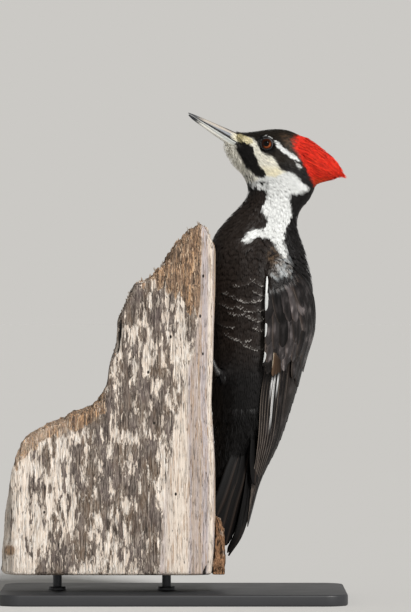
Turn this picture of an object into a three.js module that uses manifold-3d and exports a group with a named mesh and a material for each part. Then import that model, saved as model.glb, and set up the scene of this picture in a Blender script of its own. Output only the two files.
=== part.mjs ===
// A female crow-sized woodpecker, clinging upright to a weathered snag on a display stand.
// Millimetres, +Z up. The bird's belly faces -X and its left side -Y; the origin is the middle
// of the stand's underside. Points of the bird's middle plane are written [x, z].

import * as THREE from "three";
import { LoftGeometry } from "three/addons/geometries/LoftGeometry.js";
import { mergeVertices } from "three/addons/utils/BufferGeometryUtils.js";
import Module from "manifold-3d";

const wasm = await Module();
wasm.setup();

// ---- driving dimensions ----------------------------------------------------------------------

const GAP = 0.3; // clearance between neighbouring pieces
const WELD = 0.001; // vertices nearer than this are one

const BILL = { tip: [15, 437], slope: -30.9, rows: 9, arch: 6 };
const EYE = { x: 83.7, y: 13.2, z: 410, radius: 5.7 };

const HEAD_CUT = { back: [114, 350], front: [62, 358.5] };
const NECK_CUT = { back: [121, 311], front: [37, 332] };

const COVERT_HEM = 214; // height of the greater coverts' lower edge
const PRIMARY_EDGE = { top: [93, 214], bottom: [80, 100] }; // secondaries lie above and behind it

const FEATHER = { width: 17, thickness: 1.3 }; // of the tail

const GRIP = 24.2; // x of the hollow's face, which the feet hold
const FOOT = [28.2, 26.4, 234];
const TOES = {
  hind: [[28.2, 28, 233], [26.7, 31, 227], [26.2, 34.5, 221.5]],
  inner: [[28.2, 25, 235], [26.8, 20.5, 244], [26.2, 17.5, 252]],
  middle: [[28.2, 26, 235.5], [26.8, 25, 248], [26.2, 25.5, 260]],
  outer: [[28.2, 27, 235], [26.8, 31, 243.5], [26.2, 35.5, 251]],
};
const THIGH = [[62, 20, 217], [50, 26, 208.5], [43.5, 28.6, 204.5], [40, 29.4, 203]];
const SHANK = [[40.6, 29.4, 202.4], [34.6, 28.8, 217], [29.6, 27, 230]];
const HOOK = [[0, 0], [3.2, 1.5], [6.4, 1.5], [8.8, 0.1], [9.8, -1.1]]; // claw: along, out

const PERCH_FOOT = 26; // height of the snag's cut foot
const BASE = { length: 310, depth: 180, thickness: 10, corner: 20, bevel: 1.5 };
const ROD = { radius: 4, sunk: 8, y: -8, places: [-104, -6] };

const COLOURS = {
  black: 0x1b1918, red: 0xd8220f, horn: 0x8d9196, eye: 0x17100c, skin: 0x4b4c4e, claw: 0x2a2827,
  wood: 0xa79c90, bark: 0x7d5636, steel: 0x2b2c2e,
};

// Slices through head, neck and trunk: the point on the back, on the front, and half the width.
const BODY = [
  { back: [56, 422.5], front: [42.5, 414.5], half: 6.6 }, // where the bill leaves the feathers
  { back: [67.5, 421.5], front: [46.5, 404.5], half: 11.2 },
  { back: [79.8, 423.5], front: [52.8, 393.3], half: 15.8 }, // forehead and chin
  { back: [92.4, 424.8], front: [60, 384.3], half: 18.4 },
  { back: [105, 423.4], front: [65.4, 374.8], half: 19.6 },
  { back: [115.6, 418], front: [66.6, 369], half: 20 }, // crown and throat
  { back: [122.4, 406.8], front: [66.4, 367.2], half: 20 },
  { back: [126.6, 391.5], front: [65.9, 365.4], half: 19.4 }, // nape, under the crest
  { back: [129.6, 376], front: [65, 363.4], half: 18.2 },
  { back: [125, 362], front: [63.4, 360.9], half: 17.2 },
  { back: [114.6, 349.4], front: [60.6, 357.3], half: 17 }, // narrowest neck
  { back: [112.2, 336.6], front: [53.7, 350.1], half: 18.6 },
  { back: [115.8, 324.9], front: [45.6, 341.1], half: 22 },
  { back: [120.3, 312.3], front: [37.5, 331], half: 26.6 },
  { back: [123.9, 297], front: [32.1, 319], half: 31.6 },
  { back: [127, 281.7], front: [29.2, 305], half: 35.4 },
  { back: [124.5, 265.5], front: [28, 288], half: 37.6 }, // breast
  { back: [121, 250.2], front: [27.8, 268], half: 38.2 },
  { back: [117, 234], front: [28.4, 244.8], half: 38 },
  { back: [112.4, 216], front: [30, 218.7], half: 36.8 },
  { back: [106.6, 198], front: [31.8, 193.5], half: 34 }, // belly
  { back: [100.4, 180], front: [33.9, 169.2], half: 30.4 },
  { back: [92, 162], front: [37, 147], half: 25.6 }, // rump
  { back: [80, 145], front: [36, 131], half: 20 }, // vent
  { back: [66, 128], front: [35.4, 113], half: 14 },
  { back: [54, 113], front: [36.5, 100], half: 8.4 }, // coverts under the tail
  { back: [46, 103], front: [39, 97], half: 3.4 },
];

// Slices through the crest, from the nape backwards.
const CREST = [
  { back: [107, 421], front: [116, 374], half: 14 },
  { back: [116, 419], front: [124, 373.6], half: 14 },
  { back: [124.4, 414.4], front: [131, 374.2], half: 12.8 },
  { back: [134.7, 406.4], front: [138.3, 376], half: 10 },
  { back: [143.6, 399.4], front: [144.8, 378], half: 6.8 },
  { back: [149.2, 393], front: [149.6, 380], half: 3.8 },
  { back: [153.2, 386.8], front: [153, 383.2], half: 1.2 },
];

// A folded wing, downwards: height, the back's x and the flank edge's x, the middle and half
// width of the oval it is wrapped on, how far round from the back it starts, in degrees, and
// its thickness.
const WING = [
  { z: 305, back: 122.5, edge: 88, middle: 78, half: 34, from: 58, thick: 3 },
  { z: 290, back: 126.6, edge: 85, middle: 77.8, half: 39.5, from: 34, thick: 5.4 },
  { z: 270, back: 128.8, edge: 84.3, middle: 77.8, half: 42.6, from: 17, thick: 6 },
  { z: 243, back: 127.2, edge: 84.3, middle: 77, half: 43.6, from: 5, thick: 6 },
  { z: 216, back: 119.6, edge: 82.6, middle: 74.9, half: 42.4, from: 2.5, thick: 5.6 },
  { z: 180, back: 110.4, edge: 77.1, middle: 70, half: 38, from: 2.5, thick: 4.8 },
  { z: 144, back: 99.2, edge: 75.3, middle: 63, half: 31, from: 3, thick: 3.8 },
  { z: 108, back: 82, edge: 72.2, middle: 58, half: 23.5, from: 4, thick: 2.6 },
  { z: 81, back: 73.4, edge: 68.6, middle: 56, half: 18.5, from: 7, thick: 1.8 },
  { z: 66, back: 69.4, edge: 67.5, middle: 55.5, half: 15, from: 12, thick: 1.2 },
];

// The left half of the tail, from the middle pair outwards: how far each feather is rolled, in
// degrees, and its line from root to tip, [x, y, z].
const TAIL = [
  { roll: 12, line: [[74, -5, 150], [72, -6, 110], [68.6, -6.5, 82], [61.4, -6, 58], [49.8, -5, 40]] },
  { roll: 22, line: [[73, -7, 149], [70, -10, 110], [65.4, -12, 82], [59, -12, 58], [48.8, -9, 43]] },
  { roll: 48, line: [[70, -9, 147], [64, -14, 112], [57.2, -17, 88], [51.4, -18, 66], [47, -16, 50]] },
  { roll: 56, line: [[66, -10.5, 144], [58.5, -17, 113], [51, -21, 90], [45.4, -22.5, 70], [43, -21, 60]] },
  { roll: 60, line: [[62, -12, 141], [54.4, -19, 117], [47, -24, 95], [42, -26, 83], [39, -26, 76]] },
];

// Sections of the mandibles: distance back from the tip, height of the ridge, half width.
const UPPER_MANDIBLE = [
  [-2, 0.9, 1.3], [4, 2.1, 2.1], [14, 3.6, 3.2], [28, 5.6, 4.7], [42, 7.5, 6.1], [55, 8.4, 7],
];
const LOWER_MANDIBLE = [
  [-0.8, 1.5, 1.1], [5, 3.1, 2], [16, 3.6, 3.1], [30, 4.3, 4.6], [42, 4.7, 5.9], [53, 4.6, 6.6],
];

// The snag is where three outlines meet: from the side [x, z], from above [x, y] and from
// the end [y, z]. Its near edge is a ridge, behind which the bird's feet are in a hollow.
const SNAG_SIDE = [
  [24, 336.6], [15, 331.2], [9.6, 325], [1.5, 316.8], [-6, 302], [-21, 287], [-32, 283],
  [-37.5, 275], [-44.4, 259], [-48.4, 253], [-49.8, 229.5], [-55.2, 214], [-57, 198],
  [-60.5, 186], [-69.6, 175.5], [-82, 169.6], [-91.2, 168.3], [-95.5, 162.5], [-111, 159.3],
  [-124, 151.5], [-132.5, 145], [-138.5, 132], [-144.3, 109.8], [-148.6, 77], [-152.4, 36],
  [-153, PERCH_FOOT], [34.8, PERCH_FOOT], [36.4, 52], [37.5, 76.5], [36.1, 126], [35.2, 180],
  [36.6, 243], [38.4, 288], [39.4, 306], [37.5, 316.8], [32.1, 327.6], [27.8, 336],
];
const SNAG_TOP = [
  [-141, -66], [-118, -67.4], [-92, -66.2], [-58, -68], [-20, -67], [19, -68], [36.5, -59],
  [38.7, -54], [37.5, -50], [30, -47], [GRIP, -44], [GRIP, 43], [22, 49], [10, 52],
  [-22, 49], [-60, 41], [-104, 24], [-146, 2], [-154, -24], [-151, -50],
];
const SNAG_END = [
  [-70, 332], [-64, 337], [-46, 337], [-37, 324], [-22, 313], [-8, 309], [2, 296], [18, 299],
  [36, 281], [52, 262], [52, 20], [-70, 20],
];
const BARK = {
  perch_bark_front: {
    outline: [[35, 26], [46.4, 26], [46.8, 48], [45.5, 66], [42.4, 75.5], [38, 78], [35, 75]],
    y: [-55, -32.5],
  },
  perch_bark_rear: {
    outline: [[23, 26], [45.8, 26], [46.4, 40], [43.6, 51], [36, 58], [23, 60]],
    y: [-32, 28],
  },
};

// ---- solids ----------------------------------------------------------------------------------

const range = (count) => Array.from({ length: count }, (_, i) => i);
const radians = THREE.MathUtils.degToRad;
const spline = (pairs) => new THREE.SplineCurve(pairs.map((p) => new THREE.Vector2(...p)));
const curve = (points) => new THREE.CatmullRomCurve3(points.map((p) => new THREE.Vector3(...p)));
const mirrored = (solid) => solid.mirror([0, 1, 0]);

// A closed three.js geometry, as a solid.
function solidOf(geometry) {
  const bare = new THREE.BufferGeometry().setAttribute("position", geometry.attributes.position);
  const merged = mergeVertices(bare.setIndex(geometry.index), WELD);
  const index = merged.index.array;
  const corners = range(index.length / 3)
    .map((i) => [index[3 * i], index[3 * i + 1], index[3 * i + 2]])
    .filter(([a, b, c]) => a !== b && b !== c && c !== a);
  return new wasm.Manifold(
    new wasm.Mesh({
      numProp: 3,
      vertProperties: merged.attributes.position.array,
      triVerts: new Uint32Array(corners.flat()),
    }),
  );
}

// A skin over sections, each turned the way round that makes it face out.
function loft(sections) {
  const [first, second] = sections;
  const turn = new THREE.Vector3();
  const onward = new THREE.Vector3();
  first.forEach((p, i) => {
    turn.add(p.clone().cross(first[(i + 1) % first.length]));
    onward.add(second[i]).sub(p);
  });
  const rings = turn.dot(onward) > 0 ? sections : sections.map((ring) => [...ring].reverse());
  return solidOf(new LoftGeometry(rings, { capStart: true, capEnd: true }));
}

// The largest of a solid's separate bodies; a cut may leave chips beside it.
function largest(solid) {
  return solid.decompose().reduce((a, b) => (a.volume() > b.volume() ? a : b));
}

// What is left of a solid once others are taken from it.
const without = (solid, ...others) => largest(others.reduce((rest, o) => rest.subtract(o), solid));

// An outline in the x-z plane, drawn out between two values of y.
function slab(outline, fromY, toY) {
  const shape = new THREE.Shape(outline.map(([x, z]) => new THREE.Vector2(x, z)));
  const geometry = new THREE.ExtrudeGeometry(shape, { depth: toY - fromY, bevelEnabled: false });
  return solidOf(geometry.rotateX(Math.PI / 2).translate(0, toY, 0));
}

// A round limb along a curve, such as a toe; its radii are spread evenly along it.
function limb(points, radii, { rows = 5, sides = 7, grow = 0 } = {}) {
  const path = curve(points);
  const frames = path.computeFrenetFrames(rows, false);
  const thickness = spline(radii.map((r) => [r + grow, 0]));
  return loft(
    range(rows + 1).map((row) => {
      const radius = thickness.getPoint(row / rows).x;
      const end = row === rows ? grow : 0;
      const centre = path.getPointAt(row / rows).addScaledVector(frames.tangents[row], end);
      return range(sides).map((side) => {
        const angle = (side / sides) * 2 * Math.PI;
        return centre
          .clone()
          .addScaledVector(frames.normals[row], radius * Math.cos(angle))
          .addScaledVector(frames.binormals[row], radius * Math.sin(angle));
      });
    }),
  );
}

// An oval body whose slices run smoothly through the stations.
function ovals(stations, rows, sides, grow = 0) {
  const backs = spline(stations.map((s) => s.back));
  const fronts = spline(stations.map((s) => s.front));
  const halves = spline(stations.map((s) => [s.half, 0]));
  return loft(
    range(rows + 1).map((row) => {
      const t = row / rows;
      const back = backs.getPoint(t);
      const front = fronts.getPoint(t);
      const centre = back.clone().add(front).multiplyScalar(0.5);
      const reach = back.clone().sub(front).multiplyScalar(0.5);
      reach.setLength(reach.length() + grow);
      const half = halves.getPoint(t).x + grow;
      return range(sides).map((side) => {
        const angle = (side / sides) * 2 * Math.PI;
        const [fore, aside] = [Math.cos(angle), Math.sin(angle)];
        return new THREE.Vector3(centre.x + reach.x * fore, half * aside, centre.y + reach.y * fore);
      });
    }),
  );
}

// ---- head, neck and trunk ----------------------------------------------------------------------

const flesh = ovals(BODY, 34, 16);
const grownFlesh = ovals(BODY, 34, 16, GAP);

// One mandible: flat along the cutting edge and arched over its ridge; up is 1 or -1.
function mandible(stations, up, grow = 0) {
  const ridge = spline(stations.map(([s, height]) => [s, height]));
  const halves = spline(stations.map(([s, , half]) => [s, half]));
  const [cos, sin] = [Math.cos(radians(BILL.slope)), Math.sin(radians(BILL.slope))];
  const place = (s, y, h) =>
    new THREE.Vector3(BILL.tip[0] + s * cos - h * sin, y, BILL.tip[1] + s * sin + h * cos);
  return loft(
    range(BILL.rows + 1).map((row) => {
      const t = row / BILL.rows;
      const s = ridge.getPoint(t).x + (row === BILL.rows ? grow : 0);
      const height = ridge.getPoint(t).y + grow;
      const half = halves.getPoint(t).y + grow;
      const floor = GAP / 2 - grow;
      const arc = range(BILL.arch + 1).map((i) => {
        const angle = (i / BILL.arch - 0.5) * Math.PI;
        return place(s, half * Math.sin(angle), up * Math.max(floor, height * Math.cos(angle)));
      });
      return [...arc, place(s, half / 2, up * floor), place(s, -half / 2, up * floor)];
    }),
  );
}

const eyeball = (grow = 0) =>
  solidOf(
    new THREE.SphereGeometry(EYE.radius + grow, 14, 8).translate(EYE.x, -EYE.y, EYE.z),
  );

// The two parts of a solid above and below a plane through two [x, z] points.
function halved(solid, { back, front }) {
  const line = new THREE.Vector2(back[0] - front[0], back[1] - front[1]).normalize();
  const normal = [-line.y, 0, line.x];
  const offset = normal[0] * back[0] + normal[2] * back[1];
  const above = solid.trimByPlane(normal, offset + GAP / 2);
  const below = solid.trimByPlane(normal.map((n) => -n), -offset + GAP / 2);
  return [above, below];
}

const [wholeHead, headless] = halved(flesh, HEAD_CUT);
const [neck, trunk] = halved(headless, NECK_CUT);
const head = without(
  wholeHead,
  mandible(UPPER_MANDIBLE, 1, GAP),
  mandible(LOWER_MANDIBLE, -1, GAP),
  eyeball(GAP),
  mirrored(eyeball(GAP)),
);
const crest = without(ovals(CREST, 10, 14), grownFlesh);

// ---- tail --------------------------------------------------------------------------------------

// One stiff feather: a blade that narrows to a point.
function tailFeather({ roll, line }, grow = 0) {
  const path = curve(line);
  const rows = 6;
  const sides = 6;
  return loft(
    range(rows + 1).map((row) => {
      const t = row / rows;
      const tangent = path.getTangent(t);
      const across = new THREE.Vector3(0, 1, 0);
      across.addScaledVector(tangent, -across.dot(tangent)).normalize();
      across.applyAxisAngle(tangent, radians(roll));
      const normal = tangent.clone().cross(across);
      const half = (FEATHER.width / 2) * Math.sqrt(1.01 - t ** 3.4) + grow;
      const thick = FEATHER.thickness / 2 + grow;
      const centre = path.getPoint(t).addScaledVector(tangent, row === rows ? grow : 0);
      return range(sides).map((i) => {
        const angle = (i / sides) * 2 * Math.PI;
        return centre
          .clone()
          .addScaledVector(across, half * Math.cos(angle))
          .addScaledVector(normal, thick * Math.sin(angle));
      });
    }),
  );
}

const grownTail = TAIL.map((feather) => tailFeather(feather, GAP));

// Each feather is notched round those that lie over it, and the two halves meet in the middle.
const leftTail = TAIL.map((feather, i) =>
  largest(
    without(tailFeather(feather), grownFlesh, ...grownTail.slice(0, i))
      .trimByPlane([0, -1, 0], GAP / 2),
  ),
);

// ---- wings -------------------------------------------------------------------------------------

// The left wing, folded: a thin shell wrapped round the back and flank.
function wholeWing() {
  const rows = 13;
  const columns = 8;
  const keys = ["back", "edge", "middle", "half", "from", "thick"];
  const lines = keys.map((key) => spline(WING.map((s) => [s.z, s[key]])));
  return loft(
    range(rows + 1).map((row) => {
      const t = row / rows;
      const z = lines[0].getPoint(t).x;
      const [back, edge, middle, half, from, thick] = lines.map((line) => line.getPoint(t).y);
      const depth = back - middle;
      const first = radians(from);
      const last = Math.acos((edge - middle) / depth);
      const arc = (inset) =>
        range(columns + 1).map((column) => {
          const share = column / columns;
          const angle = first + (last - first) * share;
          const inward = inset * thick * (0.5 + 0.5 * Math.sin(Math.PI * share));
          const [x, y] = [(depth - inward) * Math.cos(angle), (half - inward) * Math.sin(angle)];
          return new THREE.Vector3(middle + x, -y, z);
        });
      return [...arc(0), ...arc(1).reverse()];
    }),
  );
}

const wing = without(wholeWing(), grownFlesh, ...grownTail);

// The wing's feather tracts: the outlines that part it leave a gap between them.
function wingTracts() {
  const { top, bottom } = PRIMARY_EDGE;
  const edge = GAP / 2;
  const under = COVERT_HEM - edge;
  const outlines = {
    coverts: [[0, COVERT_HEM + edge], [200, COVERT_HEM + edge], [200, 400], [0, 400]],
    secondaries: [[top[0] + edge, under], [bottom[0] + edge, bottom[1]], [200, bottom[1]],
      [200, under]],
    primaries: [[top[0] - edge, under], [bottom[0] - edge, bottom[1] - GAP],
      [200, bottom[1] - GAP], [200, 0], [0, 0], [0, under]],
  };
  return Object.entries(outlines).map(([tract, outline]) => [
    tract,
    largest(wing.intersect(slab(outline, -90, 90))),
  ]);
}

// ---- legs --------------------------------------------------------------------------------------

const onLeft = (points) => points.map(([x, y, z]) => [x, -y, z]);

const shank = (grow = 0) => limb(onLeft(SHANK), [2.9, 2.2, 2.7], { rows: 4, sides: 8, grow });

// The pad and the four toes, which lie on the hollow's face.
function foot(grow = 0) {
  const [pad] = onLeft([FOOT]);
  const ball = new THREE.SphereGeometry(3.2 + grow, 8, 5).translate(...pad);
  return Object.values(TOES).reduce(
    (whole, toe) => whole.add(limb(onLeft(toe), [2.3, 1.9, 1.65], { rows: 2, sides: 6, grow })),
    solidOf(ball),
  );
}

// The hooked claw that carries on from a toe.
function claw(toe, grow = 0) {
  const [from, end] = onLeft(TOES[toe]).slice(-2).map((p) => new THREE.Vector3(...p));
  const ahead = end.clone().sub(from).setX(0).normalize();
  const line = HOOK.map(([along, out]) =>
    end.clone().addScaledVector(ahead, along).add(new THREE.Vector3(out, 0, 0)).toArray(),
  );
  return limb(line, [1.5, 1.4, 1.1, 0.75, 0.35], { sides: 5, grow });
}

const toeNames = Object.keys(TOES);
const leg = {
  thigh: without(
    limb(onLeft(THIGH), [15, 11.5, 6, 3.2], { rows: 5, sides: 10 }), grownFlesh, shank(GAP),
  ),
  shank: without(shank(), foot(GAP)),
  foot: without(foot(), ...toeNames.map((toe) => claw(toe, GAP))),
};

// ---- snag and stand ----------------------------------------------------------------------------

// A rod's place, or with clearance the blind hole for it.
function rod(x, clearance = 0) {
  const length = PERCH_FOOT - BASE.thickness + 2 * (ROD.sunk + clearance);
  const height = (PERCH_FOOT + BASE.thickness) / 2;
  return solidOf(
    new THREE.CylinderGeometry(ROD.radius + clearance, ROD.radius + clearance, length, 24)
      .rotateX(Math.PI / 2)
      .translate(x, ROD.y, height),
  );
}

const holes = ROD.places.map((x) => rod(x, GAP));

function snag() {
  const plan = new THREE.Shape(SNAG_TOP.map(([x, y]) => new THREE.Vector2(x, y)));
  const column = solidOf(new THREE.ExtrudeGeometry(plan, { depth: 360, bevelEnabled: false }));
  const end = new THREE.Shape(SNAG_END.map(([y, z]) => new THREE.Vector2(y, z)));
  const lengthways = new THREE.ExtrudeGeometry(end, { depth: 220, bevelEnabled: false })
    .rotateX(Math.PI / 2)
    .rotateZ(Math.PI / 2)
    .translate(-170, 0, 0);
  const rough = column.intersect(slab(SNAG_SIDE, -80, 80)).intersect(solidOf(lengthways));
  return without(rough, ...holes);
}

// A flake of bark at the snag's foot, cut back to clear it.
function bark({ outline, y }, wood) {
  const shifts = [[GAP, 0, 0], [0, GAP, 0], [0, -GAP, 0]];
  return without(slab(outline, ...y), wood, ...shifts.map((shift) => wood.translate(shift)));
}

function base() {
  const { length, depth, thickness, corner, bevel } = BASE;
  const [halfLength, halfDepth] = [length / 2 - bevel, depth / 2 - bevel];
  const shape = new THREE.Shape();
  for (const [i, [x, y]] of [[1, 1], [-1, 1], [-1, -1], [1, -1]].entries()) {
    const centre = [x * (halfLength - corner), y * (halfDepth - corner)];
    shape.absarc(...centre, corner, (i * Math.PI) / 2, ((i + 1) * Math.PI) / 2);
  }
  const options = { depth: thickness - bevel, bevelThickness: bevel, bevelSize: bevel };
  const geometry = new THREE.ExtrudeGeometry(shape, { ...options, bevelSegments: 2, curveSegments: 4 });
  return without(solidOf(geometry).trimByPlane([0, 0, 1], 0), ...holes);
}

// ---- assembly ----------------------------------------------------------------------------------

const group = new THREE.Group();

function addMesh(name, solid, colour, roughness = 0.8, metalness = 0) {
  const { numProp, vertProperties, triVerts } = solid.getMesh();
  const geometry = new THREE.BufferGeometry();
  geometry.setAttribute("position", new THREE.BufferAttribute(vertProperties, numProp));
  geometry.setIndex(new THREE.BufferAttribute(triVerts, 1));
  geometry.computeVertexNormals();
  const material = new THREE.MeshStandardMaterial({ color: colour, roughness, metalness });
  material.name = name;
  const mesh = new THREE.Mesh(geometry, material);
  mesh.name = name;
  group.add(mesh);
}

// A piece of the left side, and its mirror image on the right.
function addPair(name, solid, ...look) {
  addMesh(name.replace("SIDE", "left"), solid, ...look);
  addMesh(name.replace("SIDE", "right"), mirrored(solid), ...look);
}

addMesh("bill_upper", mandible(UPPER_MANDIBLE, 1), COLOURS.horn, 0.45);
addMesh("bill_lower", mandible(LOWER_MANDIBLE, -1), COLOURS.horn, 0.45);
addMesh("head", head, COLOURS.black);
addMesh("crest", crest, COLOURS.red);
addMesh("neck", neck, COLOURS.black);
addMesh("trunk", trunk, COLOURS.black);
addPair("eye_SIDE", eyeball(), COLOURS.eye, 0.1);
for (const [tract, solid] of wingTracts()) addPair(`wing_SIDE_${tract}`, solid, COLOURS.black);
leftTail.forEach((solid, pair) => addPair(`tail_feather_SIDE_${pair + 1}`, solid, COLOURS.black));
addPair("thigh_SIDE", leg.thigh, COLOURS.black);
addPair("shank_SIDE", leg.shank, COLOURS.skin, 0.6);
addPair("foot_SIDE", leg.foot, COLOURS.skin, 0.6);
for (const toe of toeNames) addPair(`claw_SIDE_${toe}`, claw(toe), COLOURS.claw, 0.4);

const wood = snag();
addMesh("perch", wood, COLOURS.wood, 0.9);
for (const [name, flake] of Object.entries(BARK)) addMesh(name, bark(flake, wood), COLOURS.bark, 0.95);
addMesh("stand_base", base(), COLOURS.steel, 0.45, 0.6);
ROD.places.forEach((x, i) => addMesh(`stand_rod_${i + 1}`, rod(x), COLOURS.steel, 0.35, 0.8));

export default group;
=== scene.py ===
"""Looks of a life-size woodpecker on its snag: skin, plumage, bill, eyes, perch, stand and stage.

The helpers work in millimetres and every mesh is in metres. The bird's belly faces -X and its
left side -Y. Points of its side view are written (x, z).
"""

import itertools
import math

import bmesh
import bpy
import numpy as np
from mathutils import Matrix, Vector
from mathutils.bvhtree import BVHTree


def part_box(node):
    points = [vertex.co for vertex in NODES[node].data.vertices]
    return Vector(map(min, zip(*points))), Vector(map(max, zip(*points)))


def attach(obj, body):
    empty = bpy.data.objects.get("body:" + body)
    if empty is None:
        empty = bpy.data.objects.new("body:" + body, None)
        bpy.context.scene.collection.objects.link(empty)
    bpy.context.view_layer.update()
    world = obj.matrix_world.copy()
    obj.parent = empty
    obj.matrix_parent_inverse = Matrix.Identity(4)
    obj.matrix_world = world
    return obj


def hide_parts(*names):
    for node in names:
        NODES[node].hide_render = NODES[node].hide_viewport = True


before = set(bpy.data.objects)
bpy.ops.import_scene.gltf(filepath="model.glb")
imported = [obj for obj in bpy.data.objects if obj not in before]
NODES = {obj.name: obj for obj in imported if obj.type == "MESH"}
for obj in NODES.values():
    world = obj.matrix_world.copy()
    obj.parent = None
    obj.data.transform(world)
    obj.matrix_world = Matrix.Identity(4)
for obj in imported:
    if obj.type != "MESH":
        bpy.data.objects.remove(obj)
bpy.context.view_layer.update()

bl_info = {
    "name": "Woodpecker on a snag",
    "version": (1, 0, 0),
    "blender": (4, 5, 0),
    "location": "3D View > Sidebar > Woodpecker",
    "description": "Skin, plumage, bill, eyes, perch and stand of a life-size woodpecker",
    "category": "Object",
}

MM = 0.001
SIDES = {"left": -1, "right": 1}

# Corners of solids nearer than this, in metres, are one point.
SAME_POINT = 2e-5

# Widths of the faces that the skin, the snag and the bark are shaped from.
SKIN_FACE, SNAG_FACE, BARK_FACE = 1.15, 1.7, 0.9

# Depth of the coverts' coat, and how near a leg's or a wing's solid the skin belongs to it.
COVERT_DEPTH = 2.4
NEAR_LEG, NEAR_WING = 0.9, 1.0

# How many roots are tried on each square as wide as the spacing, and how much of the unwrap
# one tuft takes.
TRIES = 4.5
PATCH = 0.003

# A tuft takes the plumage's colour at this share of its length, with this much of its sway.
COLOUR_SHARE, COLOUR_SWAY = 0.7, 0.35

# The height above which the wood is clear of the base plate and its surface is worn.
FREE_OF_BASE = 26.2

# Looks that no setting changes: pale tips, worn rims, the thumb's rim, and the near-black painted
# shade of holes and cracks in wood.
PALE_TIP = (0.56, 0.53, 0.50)
WORN_RIM = np.array([0.20, 0.165, 0.14])
THUMB_RIM = np.array([0.50, 0.42, 0.32])
PAINTED_HOLE_SHADE = (0.010, 0.008, 0.006)


# ---- the bird's layout ---------------------------------------------------------------------

EYE = (83.7, 13.2, 410.0)
BILL_TIP = (15.0, 437.0)
BILL_SLOPE = math.radians(-30.9)

# Where the face's feathers begin: height over the cutting edge, and distance back from the tip.
FEATHER_EDGE = [
    (-9, 33), (-6.4, 35.5), (-5.6, 47), (-4, 48.4), (-0.4, 48.8), (0.3, 56), (2.5, 52), (5, 44),
    (6.8, 40), (8.5, 38),
]

FLESH = ["head", "neck", "trunk", "crest"]
LEGS = [f"{part}_{side}" for side in SIDES for part in ("shank", "foot")]
THIGHS = [f"thigh_{side}" for side in SIDES]
COVERTS = [f"wing_{side}_coverts" for side in SIDES]

# The middle line of head, neck and trunk, from the bill to the tail.
AXIS = [
    (50, 418), (68, 411), (85, 400), (96, 384), (95, 366), (88, 350), (84, 328), (80, 290),
    (76, 240), (68, 190), (55, 140), (42, 98),
]

# Depth of the coat at places of the side view.
DEPTHS = [
    (55, 415, 0.9), (70, 410, 1.1), (80, 400, 1.2), (90, 420, 1.5), (70, 392, 1.3),
    (48, 403, 1.8), (58, 388, 2.0), (105, 395, 1.8), (85, 378, 2.0), (95, 350, 3.0),
    (60, 335, 3.4), (115, 330, 3.4), (45, 290, 3.4), (45, 230, 3.4), (112, 280, 3.2),
    (85, 280, 2.8), (60, 170, 3.4), (48, 120, 3.6), (100, 180, 3.0), (140, 390, 2.6),
    (122, 405, 2.4), (122, 380, 2.6),
]

# The lie of the coat: place in the side view, and the way it points, in degrees from +X to +Z.
LIE = [
    (80, 420, -10), (94, 418, -18), (105, 411, -30), (85, 416, -25), (96, 409, -33),
    (107, 400, -35), (71, 411, -48), (76, 403, -52), (83, 394, -45), (92, 389, -38),
    (80, 403, -35), (92, 398, -30), (103, 392, -30), (112, 387, -38), (114, 417, -38),
    (132, 405, -38), (146, 392, -42), (114, 405, -32), (128, 392, -28), (143, 382, -26),
    (126, 377, -8), (60, 408, -55), (65, 400, -55), (73, 392, -50), (80, 383, -45),
    (46, 411, -52), (56, 396, -60), (63, 384, -60), (69, 376, -60), (87, 378, -48),
    (103, 378, -42), (116, 373, -50), (76, 367, -75), (64, 360, -118), (49, 340, -125),
    (80, 356, -95), (92, 356, -90), (108, 357, -112), (121, 364, -120), (92, 328, -88),
    (107, 335, -95), (69, 328, -130), (53, 321, -105), (40, 320, -100), (46, 288, -92),
    (67, 297, -90), (83, 315, -84), (114, 320, -72), (120, 297, -78), (127, 270, -88),
    (51, 243, -92), (69, 243, -90), (123, 230, -100), (51, 198, -90), (69, 198, -92),
    (110, 180, -105), (51, 153, -95), (64, 117, -103), (92, 130, -112), (46, 108, -95),
    (74, 81, -120),
]

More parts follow.
